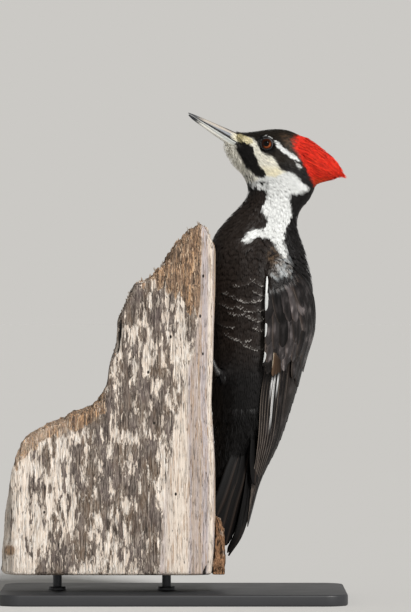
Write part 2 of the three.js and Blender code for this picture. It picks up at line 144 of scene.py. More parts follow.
# The markings' outlines in the side view; both sides carry them.
MARKS = {
    "chin": [
        (36.5, 419.5), (39.5, 413), (44, 406), (48.5, 398), (52, 391.5), (56.5, 385),
        (62.5, 380.5), (67, 376), (72.5, 375.5), (78, 379), (71, 384.5), (66.5, 389.5),
        (62.5, 396), (59, 402.5), (56.5, 408.5), (53, 411.5), (47.5, 415),
    ],
    "cheek": [
        (71, 415), (74.5, 412), (76.5, 407), (79, 403), (82.5, 400.5), (88, 398.5), (91.5, 396),
        (94, 391.5), (96, 387), (101.5, 384.5), (92.5, 380.5), (85, 380.5), (80.5, 385),
        (77, 391.5), (76, 396), (73, 400.5), (72.5, 405), (70, 408), (65.5, 410), (62, 413),
        (64.5, 416),
    ],
    "nasal": [
        (53, 420), (58, 419.8), (65.5, 417), (71, 413.5), (72.5, 410.5), (66.5, 408.5),
        (61, 410.5), (57.5, 413), (53, 417.5),
    ],
    "malar": [
        (55.5, 412), (61, 412), (66.5, 409.5), (71, 407.5), (72.5, 404), (73, 399.5), (76, 396),
        (76.5, 391.5), (80, 386), (84.5, 381.5), (80, 379.5), (74.5, 381), (70, 385),
        (66.5, 389), (63, 395), (59.5, 401.5), (56.5, 407),
    ],
    "neck": [
        (65.5, 391.5), (69, 385), (74.5, 380.5), (80.5, 379.5), (85, 382.5), (92.5, 382.5),
        (99.5, 384.5), (105, 385), (110.5, 380.5), (115, 375.5), (120.5, 371), (116.5, 367),
        (112, 364.5), (105, 365.5), (104, 357.5), (105, 349), (104, 341), (99.5, 333),
        (98.5, 324), (98.5, 318.5), (101.5, 309.5), (99.5, 304), (97, 306), (94, 311.5),
        (90.5, 318.5), (87, 323), (80, 325), (74.5, 325), (69, 321.5), (63.5, 319.5),
        (60, 321.5), (64.5, 324), (67, 329.5), (71.5, 332), (80, 332), (83.5, 336.5),
        (84.5, 341), (82.5, 344.5), (80, 347.5), (80, 352), (82.5, 356.5), (85, 362),
        (83.5, 368), (78, 368.5), (72.5, 370), (68, 374.5), (65.5, 381.5),
    ],
    "brow": [
        (81.8, 416.3), (83.5, 417.3), (87, 416), (90.5, 413.5), (94, 411.5), (98.5, 407),
        (103, 403), (107.5, 400), (112, 396.5), (114, 393.5), (109.5, 395), (105, 397.5),
        (99.5, 400.8), (95, 404.5), (92.4, 409), (89.2, 413.4), (85.3, 416.2),
    ],
    "hind crown": [
        (97, 418), (112, 418), (110, 411), (108.5, 406), (112, 398), (105, 402), (99, 410),
    ],
    "brow end": [(108.5, 395), (113, 394), (116, 389), (113, 386), (110.5, 390.5)],
    "crest": [
        (115, 420.5), (111.5, 416), (108.5, 411.5), (107.5, 407), (110.5, 402.5), (114, 398),
        (117.5, 391.5), (121, 384.5), (124, 378), (125.5, 373.5), (141, 367), (161, 372.5),
        (161, 405), (132, 421),
    ],
    "shoulder": [(87, 318.5), (92.5, 315), (95, 304), (92.5, 296), (87, 299), (84.5, 308)],
    "wing bend": [
        (92.5, 304), (101.5, 308), (106, 297), (104, 287), (98.5, 290.5), (90.5, 287),
        (86, 290.5),
    ],
    "eye patch": [
        (76, 415), (80, 417), (85, 416), (89.5, 412), (90.5, 407), (92.5, 402.5), (87, 400),
        (80, 402.5), (76, 407.5),
    ],
}

# A folded wing, downwards: height, the back's x and the flank edge's x, the middle and half
# width of the oval it is wrapped on, and how far round from the back it starts, in degrees.
WING = [
    (305, 122.5, 88, 78, 34, 58), (290, 126.6, 85, 77.8, 39.5, 34),
    (270, 128.8, 84.3, 77.8, 42.6, 17), (243, 127.2, 84.3, 77, 43.6, 5),
    (216, 119.6, 82.6, 74.9, 42.4, 2.5), (180, 110.4, 77.1, 70, 38, 2.5),
    (144, 99.2, 75.3, 63, 31, 3), (108, 82, 72.2, 58, 23.5, 4), (81, 73.4, 68.6, 56, 18.5, 7),
    (66, 69.4, 67.5, 55.5, 15, 12),
]

# The left half of the tail, from the middle outwards: roll in degrees, then the line of the shaft.
TAIL = [
    (12, [(74, -5, 150), (72, -6, 110), (68.6, -6.5, 82), (61.4, -6, 58), (49.8, -5, 40)]),
    (22, [(73, -7, 149), (70, -10, 110), (65.4, -12, 82), (59, -12, 58), (48.8, -9, 43)]),
    (48, [(70, -9, 147), (64, -14, 112), (57.2, -17, 88), (51.4, -18, 66), (47, -16, 50)]),
    (56, [(66, -10.5, 144), (58.5, -17, 113), (51, -21, 90), (45.4, -22.5, 70), (43, -21, 60)]),
    (60, [(62, -12, 141), (54.4, -19, 117), (47, -24, 95), (42, -26, 83), (39, -26, 76)]),
]

# The left half of the coverts that lie from the rump over the tail's base, told the same way.
RUMP = [
    (8, [(84, -4, 176), (79, -5, 146), (75, -5, 112)]),
    (24, [(82, -8, 176), (77.5, -11, 144), (74, -12, 108)]),
    (40, [(79, -12, 172), (76, -16, 140), (73, -17, 104)]),
]


# ---- numbers -------------------------------------------------------------------------------


def unit(v):
    """Vectors of length one."""
    return v / np.maximum(np.linalg.norm(v, axis=-1, keepdims=True), 1e-9)


def ease(low, high, x):
    """0 below low, 1 above high, and smooth between."""
    t = np.clip((x - low) / (high - low), 0, 1)
    return t * t * (3 - 2 * t)


def noise_at(points, seed=0):
    """Smooth noise from -1 to 1, with cells one unit wide."""
    base = np.floor(points).astype(np.int64)
    t = points - base
    t = t * t * (3 - 2 * t)
    total = np.zeros(len(points))
    for corner in itertools.product((0, 1), repeat=3):
        cell = (base + corner) * (73856093, 19349663, 83492791)
        mixed = (cell[:, 0] ^ cell[:, 1] ^ cell[:, 2] ^ (seed * 2654435761)) & 0xFFFFFFFF
        mixed = ((mixed ^ (mixed >> 13)) * 1274126177) & 0xFFFFFFFF
        value = (mixed ^ (mixed >> 16)) / 2**31 - 1
        total += value * np.prod(np.where(corner, t, 1 - t), axis=1)
    return total


def fractal(points, seed=0, octaves=3):
    """Noise with finer noise added to it."""
    return sum(noise_at(points * 2**k, seed + k) / 2**k for k in range(octaves))


def smooth_line(points, count):
    """Points evenly spaced in number along a smooth line through the given ones."""
    p = np.array(points, float)
    p = np.vstack([2 * p[0] - p[1], p, 2 * p[-1] - p[-2]])
    t = np.linspace(0, len(points) - 1, count)
    i = np.minimum(t.astype(int), len(points) - 2)
    f = (t - i)[:, None]
    a, b, c, d = p[i], p[i + 1], p[i + 2], p[i + 3]
    return 0.5 * (2 * b + (c - a) * f + (2 * a - 5 * b + 4 * c - d) * f**2
                  + (3 * b - a - 3 * c + d) * f**3)


def linear(colour):
    """A display colour as light."""
    c = np.array(colour, float)[:3]
    return np.where(c <= 0.04045, c / 12.92, ((c + 0.055) / 1.055) ** 2.4)


def look_up(table, at):
    """The second number of a table, where its first number is at."""
    return np.interp(at, *np.array(table, float).T)


def spread(places, values, p, reach=9.0):
    """Values given at places of the side view, blended at points p by nearness."""
    places = np.array(places, float)
    values = np.array(values, float)
    apart = ((p[:, None, [0, 2]] - places) ** 2).sum(-1)
    weight = 1 / (apart + reach) ** 2
    return (weight @ values) / weight.sum(1).reshape((-1,) + (1,) * (values.ndim - 1))


def within(p, outline, soft):
    """1 inside an outline of the side view and 0 outside, blended over soft millimetres."""
    a = np.array(outline, float)
    edge = np.roll(a, -1, axis=0) - a
    q = p[:, None, [0, 2]]
    along = np.clip(((q - a) * edge).sum(-1) / (edge**2).sum(-1), 0, 1)
    near = np.sqrt(((q - a - along[..., None] * edge) ** 2).sum(-1)).min(1)
    level = (a[:, 1] > q[..., 1]) != (a[:, 1] + edge[:, 1] > q[..., 1])
    rise = np.where(edge[:, 1] == 0, 1e-9, edge[:, 1])
    crossed = level & (q[..., 0] < edge[:, 0] * (q[..., 1] - a[:, 1]) / rise + a[:, 0])
    return ease(-soft, soft, np.where(crossed.sum(1) % 2 == 1, near, -near))


def on_bill(p):
    """Distance back from the bill's tip, and height over its cutting edge."""
    x, z = p[:, 0] - BILL_TIP[0], p[:, 2] - BILL_TIP[1]
    cos, sin = math.cos(BILL_SLOPE), math.sin(BILL_SLOPE)
    return x * cos + z * sin, z * cos - x * sin


def before_feathers(p):
    """How far in front of the face's feathers a point of the bill's base lies."""
    back, height = on_bill(p)
    return np.where(height > -6.2, look_up(FEATHER_EDGE, height) - back, -9.0)


def coat_depth(p):
    """Depth of the coat over the skin."""
    places = [d[:2] for d in DEPTHS]
    return spread(places, [d[2] for d in DEPTHS], p, reach=60.0)


def lie_at(p, normals):
    """The way the coat lies, along the skin."""
    angles = np.radians([c[2] for c in LIE])
    way = spread([c[:2] for c in LIE], np.stack([np.cos(angles), np.sin(angles)], 1), p)
    way = np.stack([way[:, 0], np.zeros(len(p)), way[:, 1]], 1)
    return unit(way - (way * normals).sum(1, keepdims=True) * normals)


def unwrapped(p, steps=200, margin=0.02):
    """Where a point lies on the skin's unwrap: round the body's middle line, and along it."""
    axis = smooth_line(AXIS, steps)
    apart = ((p[:, None, [0, 2]] - axis) ** 2).sum(-1)
    near = apart.argmin(1)
    ahead = unit(np.gradient(axis, axis=0))[near]
    aside = p[:, [0, 2]] - axis[near]
    across = aside[:, 0] * ahead[:, 1] - aside[:, 1] * ahead[:, 0]
    around = np.arctan2(p[:, 1], across) / (2 * math.pi) + 0.5
    onward = (near + (aside * ahead).sum(1) / 2) / steps
    place = margin + (1 - 2 * margin) * np.stack([around, onward], 1)
    return np.clip(place, (0, 0.005), (1, 0.995))


# ---- meshes --------------------------------------------------------------------------------


def piece(name, mesh, material, slot, replaces=()):
    """Puts a mesh in the scene as one of the object's pieces."""
    mesh.name = name
    mesh.materials.clear()
    mesh.materials.append(material)
    mesh.shade_smooth()
    made = bpy.data.objects.new(name, mesh)
    bpy.context.scene.collection.objects.link(made)
    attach(made, "root")
    if replaces:
        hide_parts(*replaces)


def mesh_of(bm):
    """A bmesh as a mesh."""
    mesh = bpy.data.meshes.new("shape")
    bm.to_mesh(mesh)
    bm.free()
    return mesh


def bmesh_of(mesh):
    """A mesh as a bmesh."""
    bm = bmesh.new()
    bm.from_mesh(mesh)
    bpy.data.meshes.remove(mesh)
    return bm


def mesh_from_arrays(name, points, quads, triangles):
    """A mesh of many small things: points in millimetres, four-sided and three-sided faces."""
    mesh = bpy.data.meshes.new(name)
    mesh.vertices.add(len(points))
    mesh.vertices.foreach_set("co", (points * MM).astype(np.float32).ravel())
    corners = np.concatenate([quads.ravel(), triangles.ravel()])
    starts = np.concatenate([
        np.arange(len(quads)) * 4, 4 * len(quads) + np.arange(len(triangles)) * 3,
    ])
    mesh.loops.add(len(corners))
    mesh.loops.foreach_set("vertex_index", corners.astype(np.int32))
    mesh.polygons.add(len(starts))
    mesh.polygons.foreach_set("loop_start", starts.astype(np.int32))
    mesh.update(calc_edges=True)
    return mesh


def corners_of(mesh):
    """The vertex at each corner of each face."""
    corners = np.empty(len(mesh.loops), np.int32)
    mesh.loops.foreach_get("vertex_index", corners)
    return corners


def vertex_data(mesh, name="co"):
    """Points (in millimetres) or normals of a mesh."""
    values = np.empty(len(mesh.vertices) * 3, np.float32)
    mesh.vertices.foreach_get(name, values)
    return values.reshape(-1, 3).astype(float) / (MM if name == "co" else 1)


def blend(colour, shade, amount):
    """Lays a shade over colours by an amount from 0 to 1."""
    colour[..., :3] += (shade - colour[..., :3]) * np.clip(amount, 0, 1)[..., None]


def place_vertices(mesh, points):
    """Moves a mesh's vertices to points in millimetres."""
    mesh.vertices.foreach_set("co", (points * MM).astype(np.float32).ravel())
    mesh.update()


def give_colour(mesh, name, values):
    """A colour, with a fourth number, for each vertex."""
    layer = mesh.color_attributes.new(name=name, type="FLOAT_COLOR", domain="POINT")
    layer.data.foreach_set("color", values.astype(np.float32).ravel())


def give_number(mesh, name, values, kind="FLOAT", field="value"):
    """A number, or a vector, for each vertex."""
    layer = mesh.attributes.new(name=name, type=kind, domain="POINT")
    layer.data.foreach_set(field, values.astype(np.float32).ravel())


def give_map(mesh, name, values):
    """A UV map, from a pair of numbers for each vertex."""
    layer = mesh.uv_layers.new(name=name)
    layer.uv.foreach_set("vector", values[corners_of(mesh)].astype(np.float32).ravel())


def copy_of(names, swell=0.0):
    """The solids of some nodes together, each grown by swell millimetres."""
    bm = bmesh.new()
    for name in names:
        bm.from_mesh(NODES[name].data)
    bmesh.ops.remove_doubles(bm, verts=bm.verts, dist=SAME_POINT)
    bmesh.ops.recalc_face_normals(bm, faces=bm.faces)
    bm.normal_update()
    moves = [v.normal * swell * MM for v in bm.verts]
    for v, move in zip(bm.verts, moves):
        v.co += move
    return bm


def modified(bm, kind, **settings):
    """A bmesh after one modifier, as a new mesh."""
    mesh = mesh_of(bm)
    carrier = bpy.data.objects.new("carrier", mesh)
    bpy.context.scene.collection.objects.link(carrier)
    modifier = carrier.modifiers.new("shape", kind)
    for key, value in settings.items():
        setattr(modifier, key, value)
    made = carrier.evaluated_get(bpy.context.evaluated_depsgraph_get())
    result = bpy.data.meshes.new_from_object(made)
    bpy.data.objects.remove(carrier)
    bpy.data.meshes.remove(mesh)
    return result


def relax(bm, verts, times=1):
    """Evens out some vertices of a bmesh."""
    for _ in range(times):
        bmesh.ops.smooth_vert(
            bm, verts=verts, factor=0.5, use_axis_x=True, use_axis_y=True, use_axis_z=True,
        )


def remeshed(names, size, swell=0.0):
    """The solids of some nodes as one bmesh, whose faces are size millimetres wide."""
    solids = copy_of(names, swell)
    return bmesh_of(modified(solids, "REMESH", mode="VOXEL", voxel_size=size * MM))


def worn_block(name, size, times):
    """A wooden solid with even faces and worn edges, with its points and normals."""
    bm = remeshed([name], size)
    relax(bm, bm.verts, times)
    bm.normal_update()
    mesh = mesh_of(bm)
    return mesh, vertex_data(mesh), vertex_data(mesh, "normal")


def tree_of(bm):
    """A bmesh ready for the nearest point on it."""
    return BVHTree.FromBMesh(bm)


class Surface:
    """The skin: its triangles, their normals and coat depth, and the nearest point to any."""

    def __init__(self):
        mesh = bpy.data.objects["skin"].data
        mesh.calc_loop_triangles()
        corners = np.empty(len(mesh.loop_triangles) * 3, np.int32)
        mesh.loop_triangles.foreach_get("vertices", corners)
        self.points = vertex_data(mesh)
        self.corners = corners.reshape(-1, 3)
        self.normals = unit(vertex_data(mesh, "normal")[self.corners].mean(1))
        self.depth = self.value(mesh, "depth")
        self.leg = self.value(mesh, "leg")
        self.wing = self.value(mesh, "wing")
        self.tree = BVHTree.FromPolygons(self.points.tolist(), self.corners.tolist())

    def value(self, mesh, name):
        """A number on the skin, for each triangle."""
        values = np.empty(len(mesh.vertices), np.float32)
        mesh.attributes[name].data.foreach_get("value", values)
        return values[self.corners].mean(1)

    def nearest(self, points):
        """The nearest points of the skin, and the triangles they lie on."""
        found = [self.tree.find_nearest(p) for p in points.tolist()]
        return np.array([f[0] for f in found]), np.array([f[2] for f in found])

    def scatter(self, chosen, spacing, rng):
        """Points spread over chosen triangles, no two nearer than spacing."""
        which = np.flatnonzero(chosen)
        a, b, c = (self.points[self.corners[which, k]] for k in range(3))
        area = np.linalg.norm(np.cross(b - a, c - a), axis=1) / 2
        count = int(TRIES * area.sum() / spacing**2)
        pick = rng.choice(len(which), count, p=area / area.sum())
        u, v = rng.random((2, count, 1))
        u, v = np.where(u + v > 1, 1 - u, u), np.where(u + v > 1, 1 - v, v)
        tried = a[pick] + u * (b[pick] - a[pick]) + v * (c[pick] - a[pick])
        cells, kept = {}, []
        near = list(itertools.product((-1, 0, 1), repeat=3))
        keys = np.floor(tried / spacing).astype(int).tolist()
        for i, (p, key) in enumerate(zip(tried.tolist(), keys)):
            around = (cells.get((key[0] + x, key[1] + y, key[2] + z)) for x, y, z in near)
            close = any(
                (p[0] - q[0]) ** 2 + (p[1] - q[1]) ** 2 + (p[2] - q[2]) ** 2 < spacing**2
                for cell in around if cell for q in cell
            )
            if not close:
                cells.setdefault(tuple(key), []).append(p)
                kept.append(i)
        return tried[kept], which[pick[kept]]


# ---- shader nodes --------------------------------------------------------------------------


class Value:
    """A shader socket that sums and products can be written with."""

    def __init__(self, paint, socket):
        self.paint = paint
        self.socket = socket

    def maths(self, operation, *others):
        """What a Math node makes of this value and others."""
        inputs = {i: v for i, v in enumerate((self, *others))}
        return self.paint.node("Math", {"operation": operation}, inputs)

    def __add__(self, other):
        return self.maths("ADD", other)

    def __sub__(self, other):
        return self.maths("SUBTRACT", other)

    def __rsub__(self, other):
        return (self * -1) + other

    def __mul__(self, other):
        return self.maths("MULTIPLY", other)

    def __pow__(self, other):
        return self.maths("POWER", other)

    def __neg__(self):
        return self * -1

    __radd__ = __add__
    __rmul__ = __mul__

    def between(self, low, high):
        """0 below low, 1 above high, and smooth between."""
        settings = {"interpolation_type": "SMOOTHSTEP"}
        return self.paint.node("MapRange", settings, {0: self, 1: low, 2: high})


class Paint:
    """A material and the nodes it is made with."""

    def __init__(self, name, **constants):
        self.material = bpy.data.materials.new(name)
        self.material.use_nodes = True
        self.tree = self.material.node_tree
        self.shader = self.tree.nodes["Principled BSDF"]
        self.material.diffuse_color = (*constants.pop("shown", (0.5, 0.5, 0.5)), 1)
        for key, value in constants.items():
            self.shader.inputs[key.replace("_", " ")].default_value = value

    def node(self, kind, settings=None, inputs=None, output=0):
        """A node of a kind, with its settings, and the values or links of its sockets."""
        node = self.tree.nodes.new("ShaderNode" + kind)
        for key, value in (settings or {}).items():
            setattr(node, key, value)
        for key, value in (inputs or {}).items():
            if isinstance(value, Value):
                self.tree.links.new(value.socket, node.inputs[key])
            else:
                node.inputs[key].default_value = value
        return Value(self, node.outputs[output])

    def place(self, scale=(1, 1, 1), turn=(0, 0, 0)):
        """The object's own coordinates, in millimetres, stretched and turned."""
        inputs = {
            "Vector": self.node("TexCoord", output="Object"),
            "Rotation": turn,
            "Scale": tuple(s / MM for s in scale),
        }
        return self.node("Mapping", {}, inputs)

    def on_map(self, name, scale=(1, 1, 1)):
        """The coordinates of a UV map, stretched."""
        inputs = {"Vector": self.node("UVMap", {"uv_map": name}), "Scale": scale}
        return self.node("Mapping", {}, inputs)

    def noise(self, vector, scale=1.0, detail=3.0, roughness=0.55, distortion=0.0):
        """Noise at a vector."""
        inputs = {
            "Vector": vector, "Scale": scale, "Detail": detail, "Roughness": roughness,
            "Distortion": distortion,
        }
        return self.node("TexNoise", {}, inputs)

    def grain(self, scale, detail, roughness=0.55, distortion=0.0):
        """Noise stretched along the object's own axes."""
        return self.noise(self.place(scale), 1.0, detail, roughness, distortion)

    def attribute(self, name, output="Color"):
        """What the mesh says at each point."""
        return self.node("Attribute", {"attribute_name": name}, {}, output)

    def shaded_plumage(self, shade):
        """The piece's own colours, times a number."""
        grey = self.node("CombineXYZ", {}, {0: shade, 1: shade, 2: shade})
        return self.mix(1.0, self.attribute("plumage"), grey, "MULTIPLY")

    def mix(self, factor, a, b, blend="MIX"):
        """Colour b over colour a."""
        settings = {"data_type": "RGBA", "blend_type": blend}
        a, b = (v if isinstance(v, Value) else (*v, 1) for v in (a, b))
        return self.node("Mix", settings, {0: factor, 6: a, 7: b}, 2)

    def layers(self, colour, *over):
        """A colour with others laid over it, each by its factor."""
        for factor, shade in over:
            colour = self.mix(factor, colour, shade)
        return colour

    def part_of(self, vector, axis):
        """The X, Y or Z of a vector."""
        return self.node("SeparateXYZ", {}, {0: vector}, axis)

    def bump(self, height, strength, distance):
        """A surface raised by a height: distance millimetres where the height is 1."""
        inputs = {"Height": height, "Strength": strength, "Distance": distance * MM}
        return self.node("Bump", {}, inputs)

    def finish(self, **sockets):
        """Links values to the shader's sockets and gives the material."""
        for key, value in sockets.items():
            self.tree.links.new(value.socket, self.shader.inputs[key.replace("_", " ")])
        return self.material


# ---- settings ------------------------------------------------------------------------------


def colour_setting(name, description, red, green, blue):
    """A colour that can be changed, given as a display colour from 0 to 255."""
    return bpy.props.FloatVectorProperty(
        name=name, description=description, subtype="COLOR_GAMMA", size=3, min=0, max=1,
        default=(red / 255, green / 255, blue / 255),
    )


def length_setting(name, description, millimetres):
    """A length that can be changed."""
    return bpy.props.FloatProperty(
        name=name, description=description, default=millimetres * MM, min=0, unit="LENGTH",
    )


class PlumageSettings(bpy.types.PropertyGroup):
    black: colour_setting("Black", "Back, wings and tail", 22, 20, 20)
    brown: colour_setting("Brown black", "Breast and belly", 36, 29, 25)
    crown: colour_setting("Crown", "Forehead and crown", 34, 29, 23)
    white: colour_setting("White", "Neck and brow", 233, 235, 234)
    cream: colour_setting("Cream", "Cheek", 241, 238, 225)
    yellow: colour_setting("Yellow", "Nostrils and lower cheek", 244, 230, 176)
    grey: colour_setting("Grey", "Chin", 250, 247, 236)
    red: colour_setting("Red", "Crest", 224, 46, 28)
    worn: colour_setting("Worn brown", "Bend and thumb of the wing", 96, 74, 56)
    bare: colour_setting("Bare skin", "Ring round the eye", 30, 29, 30)
    face_spacing: length_setting("Face spacing", "Between the tufts of the face", 0.9)
    body_spacing: length_setting("Body spacing", "Between the feathers of the body", 2.5)
    seed: bpy.props.IntProperty(name="Seed", description="Of the feathers' jitter", default=4)


class HeadSettings(bpy.types.PropertyGroup):
    eye: length_setting("Eyeball", "Radius of the eyeball", 5.7)
    opening: length_setting("Eye opening", "Radius of the open lids", 4.6)
    iris: length_setting("Iris", "Radius of the iris", 4.3)
    pupil: length_setting("Pupil", "Radius of the pupil", 2.4)
    iris_colour: colour_setting("Iris", "Colour of the iris", 150, 78, 44)
    horn: colour_setting("Horn", "Sides of the bill", 172, 163, 152)
    slate: colour_setting("Slate", "Tip, ridge and edges of the bill", 52, 56, 66)
    ivory: colour_setting("Ivory", "Lower half of the bill", 232, 230, 222)
    claw: colour_setting("Claw", "Claws", 46, 42, 40)


class PerchSettings(bpy.types.PropertyGroup):
    pale: colour_setting("Pale wood", "Bare weathered wood", 232, 217, 202)
    silver: colour_setting("Silver wood", "The smooth ridge", 219, 211, 204)
    dark: colour_setting("Dark wood", "Blotches of old surface", 108, 95, 87)
    umber: colour_setting("Umber", "Fibres, cracks and crust", 154, 127, 104)
    bark: colour_setting("Bark", "Flakes of bark", 122, 92, 68)
    grain: length_setting("Grain", "Depth of the weathered grain", 0.7)


class StandSettings(bpy.types.PropertyGroup):
    steel: colour_setting("Coated steel", "Base plate", 44, 45, 48)
    rod: colour_setting("Rods", "The two rods", 70, 71, 74)


class StageSettings(bpy.types.PropertyGroup):
    floor: colour_setting("Floor", "The plain floor", 203, 201, 197)
    distance: length_setting("Camera distance", "From the bird to the camera", 4000)
    lens: bpy.props.FloatProperty(
        name="Lens", description="Focal length in millimetres", default=261.4, min=1,
    )


class WoodpeckerSettings(bpy.types.PropertyGroup):
    plumage: bpy.props.PointerProperty(type=PlumageSettings)
    head: bpy.props.PointerProperty(type=HeadSettings)
    perch: bpy.props.PointerProperty(type=PerchSettings)
    stand: bpy.props.PointerProperty(type=StandSettings)
    stage: bpy.props.PointerProperty(type=StageSettings)


# ---- plumage colours and the skin ----------------------------------------------------------


def wing_stations(z):
    """The folded wing at heights z: back, middle, half width, first and last angle."""
    table = smooth_line(WING, 300)[::-1]
    columns = table[:, 1:].T
    back, edge, middle, half, start = (np.interp(z, table[:, 0], c) for c in columns)
    last = np.arccos(np.clip((edge - middle) / (back - middle), -1, 1))
    return back, middle, half, np.radians(start), last


def under_wing(p):
    """True where a point of the trunk is covered by a folded wing's long feathers."""
    back, middle, half, first, last = wing_stations(p[:, 2])
    along, aside = (p[:, 0] - middle) / (back - middle), np.abs(p[:, 1]) / half
    angle = np.arctan2(aside, along)
    inside = (angle > first - 0.2) & (angle < last - 0.12) & (np.hypot(along, aside) < 0.99)
    return inside & (p[:, 2] < 256) & (p[:, 2] > 70)


def strands_at(p, slope, across, onward, seed):
    """Noise drawn out along a way that falls backwards at a slope, and that way."""
    cos, sin = math.cos(math.radians(slope)), math.sin(math.radians(slope))
    ahead, aside = p[:, 0] * cos - p[:, 2] * sin, p[:, 0] * sin + p[:, 2] * cos
    noise = noise_at(np.stack([ahead / onward, p[:, 1] / across, aside / across], 1), seed)
    return noise, np.array([cos, 0, -sin])


COLOURS = ("black", "brown", "crown", "white", "cream", "yellow", "grey", "red", "worn")


def plumage_at(p, s, ragged=1.0):
    """Colour of the plumage at points p, and how rough it is."""
    tone = {k: linear(getattr(s, k)) for k in COLOURS}
    x, z = p[:, 0], p[:, 2]
    sway = np.stack([noise_at(p / 1.6, k) for k in (11, 12, 13)], 1)
    q = p + sway * ragged
    cloud = 0.5 + 0.5 * noise_at(p / 6.0, 21)
    brown = ease(104, 78, x) * ease(196, 236, z) * ease(376, 360, z)
    crown = ease(384, 396, z)
    colour = np.repeat(tone["black"][None], len(p), axis=0)

    def lay(shade, amount):
        blend(colour, shade, amount)

    def marked(name, soft, at=q):
        """1 on a marking and 0 off it."""
        return within(at, MARKS[name], soft)

    lay(tone["brown"], brown)
    lay(tone["crown"], crown)
    hind = marked("hind crown", 3.0) * ease(-0.4, 0.5, noise_at(p / 0.9, 33))
    lay(tone["worn"] * 0.9, hind * 0.9)
    strand, way = strands_at(p, 34, 1.3, 6.0, 36)
    swept = q + way * (strand * 3.2)[:, None]
    reddish = marked("crest", 1.6, swept + way * 2.0)
    # Painted shade: below 222 mm the plumage is painted darker towards the bottom, down to 0.45 of
    # its colour, for the shaded underside; the cloud is random tone.
    colour *= ((0.82 + 0.36 * cloud) * (1 - 0.55 * ease(222, 176, z)))[:, None]
    lay(tone["red"] * (0.5, 1.1, 1.1), reddish * 0.75)
    crest = marked("crest", 0.9, swept)
    lay(tone["red"], crest)
    lay(tone["red"] * (1.1, 5.0, 2.0), crest * ease(383, 376, z) * ease(122, 130, x) * 0.5)
    lay(tone["white"] * 0.97, marked("neck", 0.7))
    lay(tone["grey"] * 0.95, marked("chin", 0.8))
    cheek = marked("cheek", 0.9)
    lay(tone["cream"], cheek)
    lay(tone["yellow"], cheek * ease(392, 385, z) * ease(100, 94, x) * 0.36)
    lay(tone["yellow"], marked("nasal", 0.7) * 0.65)
    strand, way = strands_at(p, 55, 0.9, 3.5, 37)
    apart = strands_at(p, 55, 1.4, 2.5, 38)[0] * (0.8 + 1.2 * ease(396, 384, z))
    swept = q + way * (strand * 2.4)[:, None] + np.array([way[2], 0, -way[0]]) * apart[:, None]
    lay(tone["black"] * 0.8, marked("malar", 0.5, swept))
    flecks = ease(0.12, 0.32, strands_at(p, 62, 0.6, 1.8, 31)[0])
    flecks *= ease(89, 82, x) * ease(385, 380, z) * ease(366, 369, z)
    lay(tone["black"], flecks * ease(0.9, 0.5, ease(66, 76, x) * ease(370, 380, z)))
    lay(tone["black"] * 0.7, marked("eye patch", 0.5))
    lay(tone["white"], marked("brow", 0.4))
    lay(tone["white"], marked("brow end", 0.3) * ease(-0.1, 0.2, sway[:, 1]))
    fibres = ease(-0.1, 0.4, noise_at(p / (0.8, 0.8, 2.2), 34))
    lay(tone["worn"] * (1.5, 1.7, 1.8), marked("shoulder", 2.5) * fibres * 0.7)
    wisps = ease(0.15, 0.4, strands_at(p, 58, 1.1, 7.0, 35)[0]) * 0.6
    lay(tone["white"] * (0.72, 0.76, 0.80), marked("wing bend", 2.0) * wisps)
    light = colour.mean(1)
    return np.hstack([colour, (0.5 + 0.3 * ease(0.02, 0.4, light))[:, None]])


def round_eye(x, y, z):
    """True at places of the skin, in millimetres, that lie round an eye."""
    return (np.abs(y) > EYE[1] - 6) & (np.hypot(x - EYE[0], z - EYE[2]) < 10)


def refine_round_eyes(bm):
    """Makes the skin's faces smaller round each eye."""
    close = [e for e in bm.edges if all(round_eye(*(v.co / MM)) for v in e.verts)]
    bmesh.ops.subdivide_edges(bm, edges=close, cuts=2, use_grid_fill=True)


def shape_lids(points, head):
    """Opens the skin over each eyeball, and rounds the lids' rims and the fold behind them."""
    ball, opening = head.eye / MM, head.opening / MM
    x, z = points[:, 0] - EYE[0], points[:, 2] - EYE[2]
    r, angle = np.hypot(x, z), np.arctan2(z, x)
    corner = np.abs(np.cos(angle + 0.6)) ** 10
    rim = opening * (1 + 0.09 * corner - 0.02 * np.cos(2 * angle + 1.2))
    near = round_eye(*points.T)
    snapped = near & (np.abs(r - rim) < 0.22)
    scale = np.where(snapped, rim / np.maximum(r, 1e-6), 1.0)
    points[:, 0], points[:, 2] = EYE[0] + x * scale, EYE[2] + z * scale
    r = r * scale
    over = EYE[1] + np.sqrt(np.maximum((ball + 0.6) ** 2 - r**2, 0))
    over -= 0.5 * ease(0.7, 0.0, r - rim)
    over -= 0.3 * np.exp(-(((r - rim - 1.2) / 0.3) ** 2))
    creases = 0.12 * np.sin(angle * 34 + 3 * np.sin(angle * 5))
    over += creases * ease(0.3, 1.0, r - rim) * ease(3, 1.6, r - rim)
    under = EYE[1] + np.sqrt(np.maximum((ball - 0.9) ** 2 - np.minimum(r, ball - 1) ** 2, 0))
    side = np.sign(points[:, 1])
    high = np.abs(points[:, 1])
    share = ease(rim + 3.0, rim + 1.1, r)
    shaped = high + (over - high) * share
    shaped = np.where(r < rim - 0.05, under, shaped)
    points[:, 1] = np.where(near, side * shaped, points[:, 1])
    speckled = 0.55 + 0.45 * np.sin(angle * 30 + 2 * np.sin(angle * 7))
    pale = np.exp(-(((r - rim - 1.1) / 0.4) ** 2)) * speckled
    return near & (r < rim + 1.5), pale


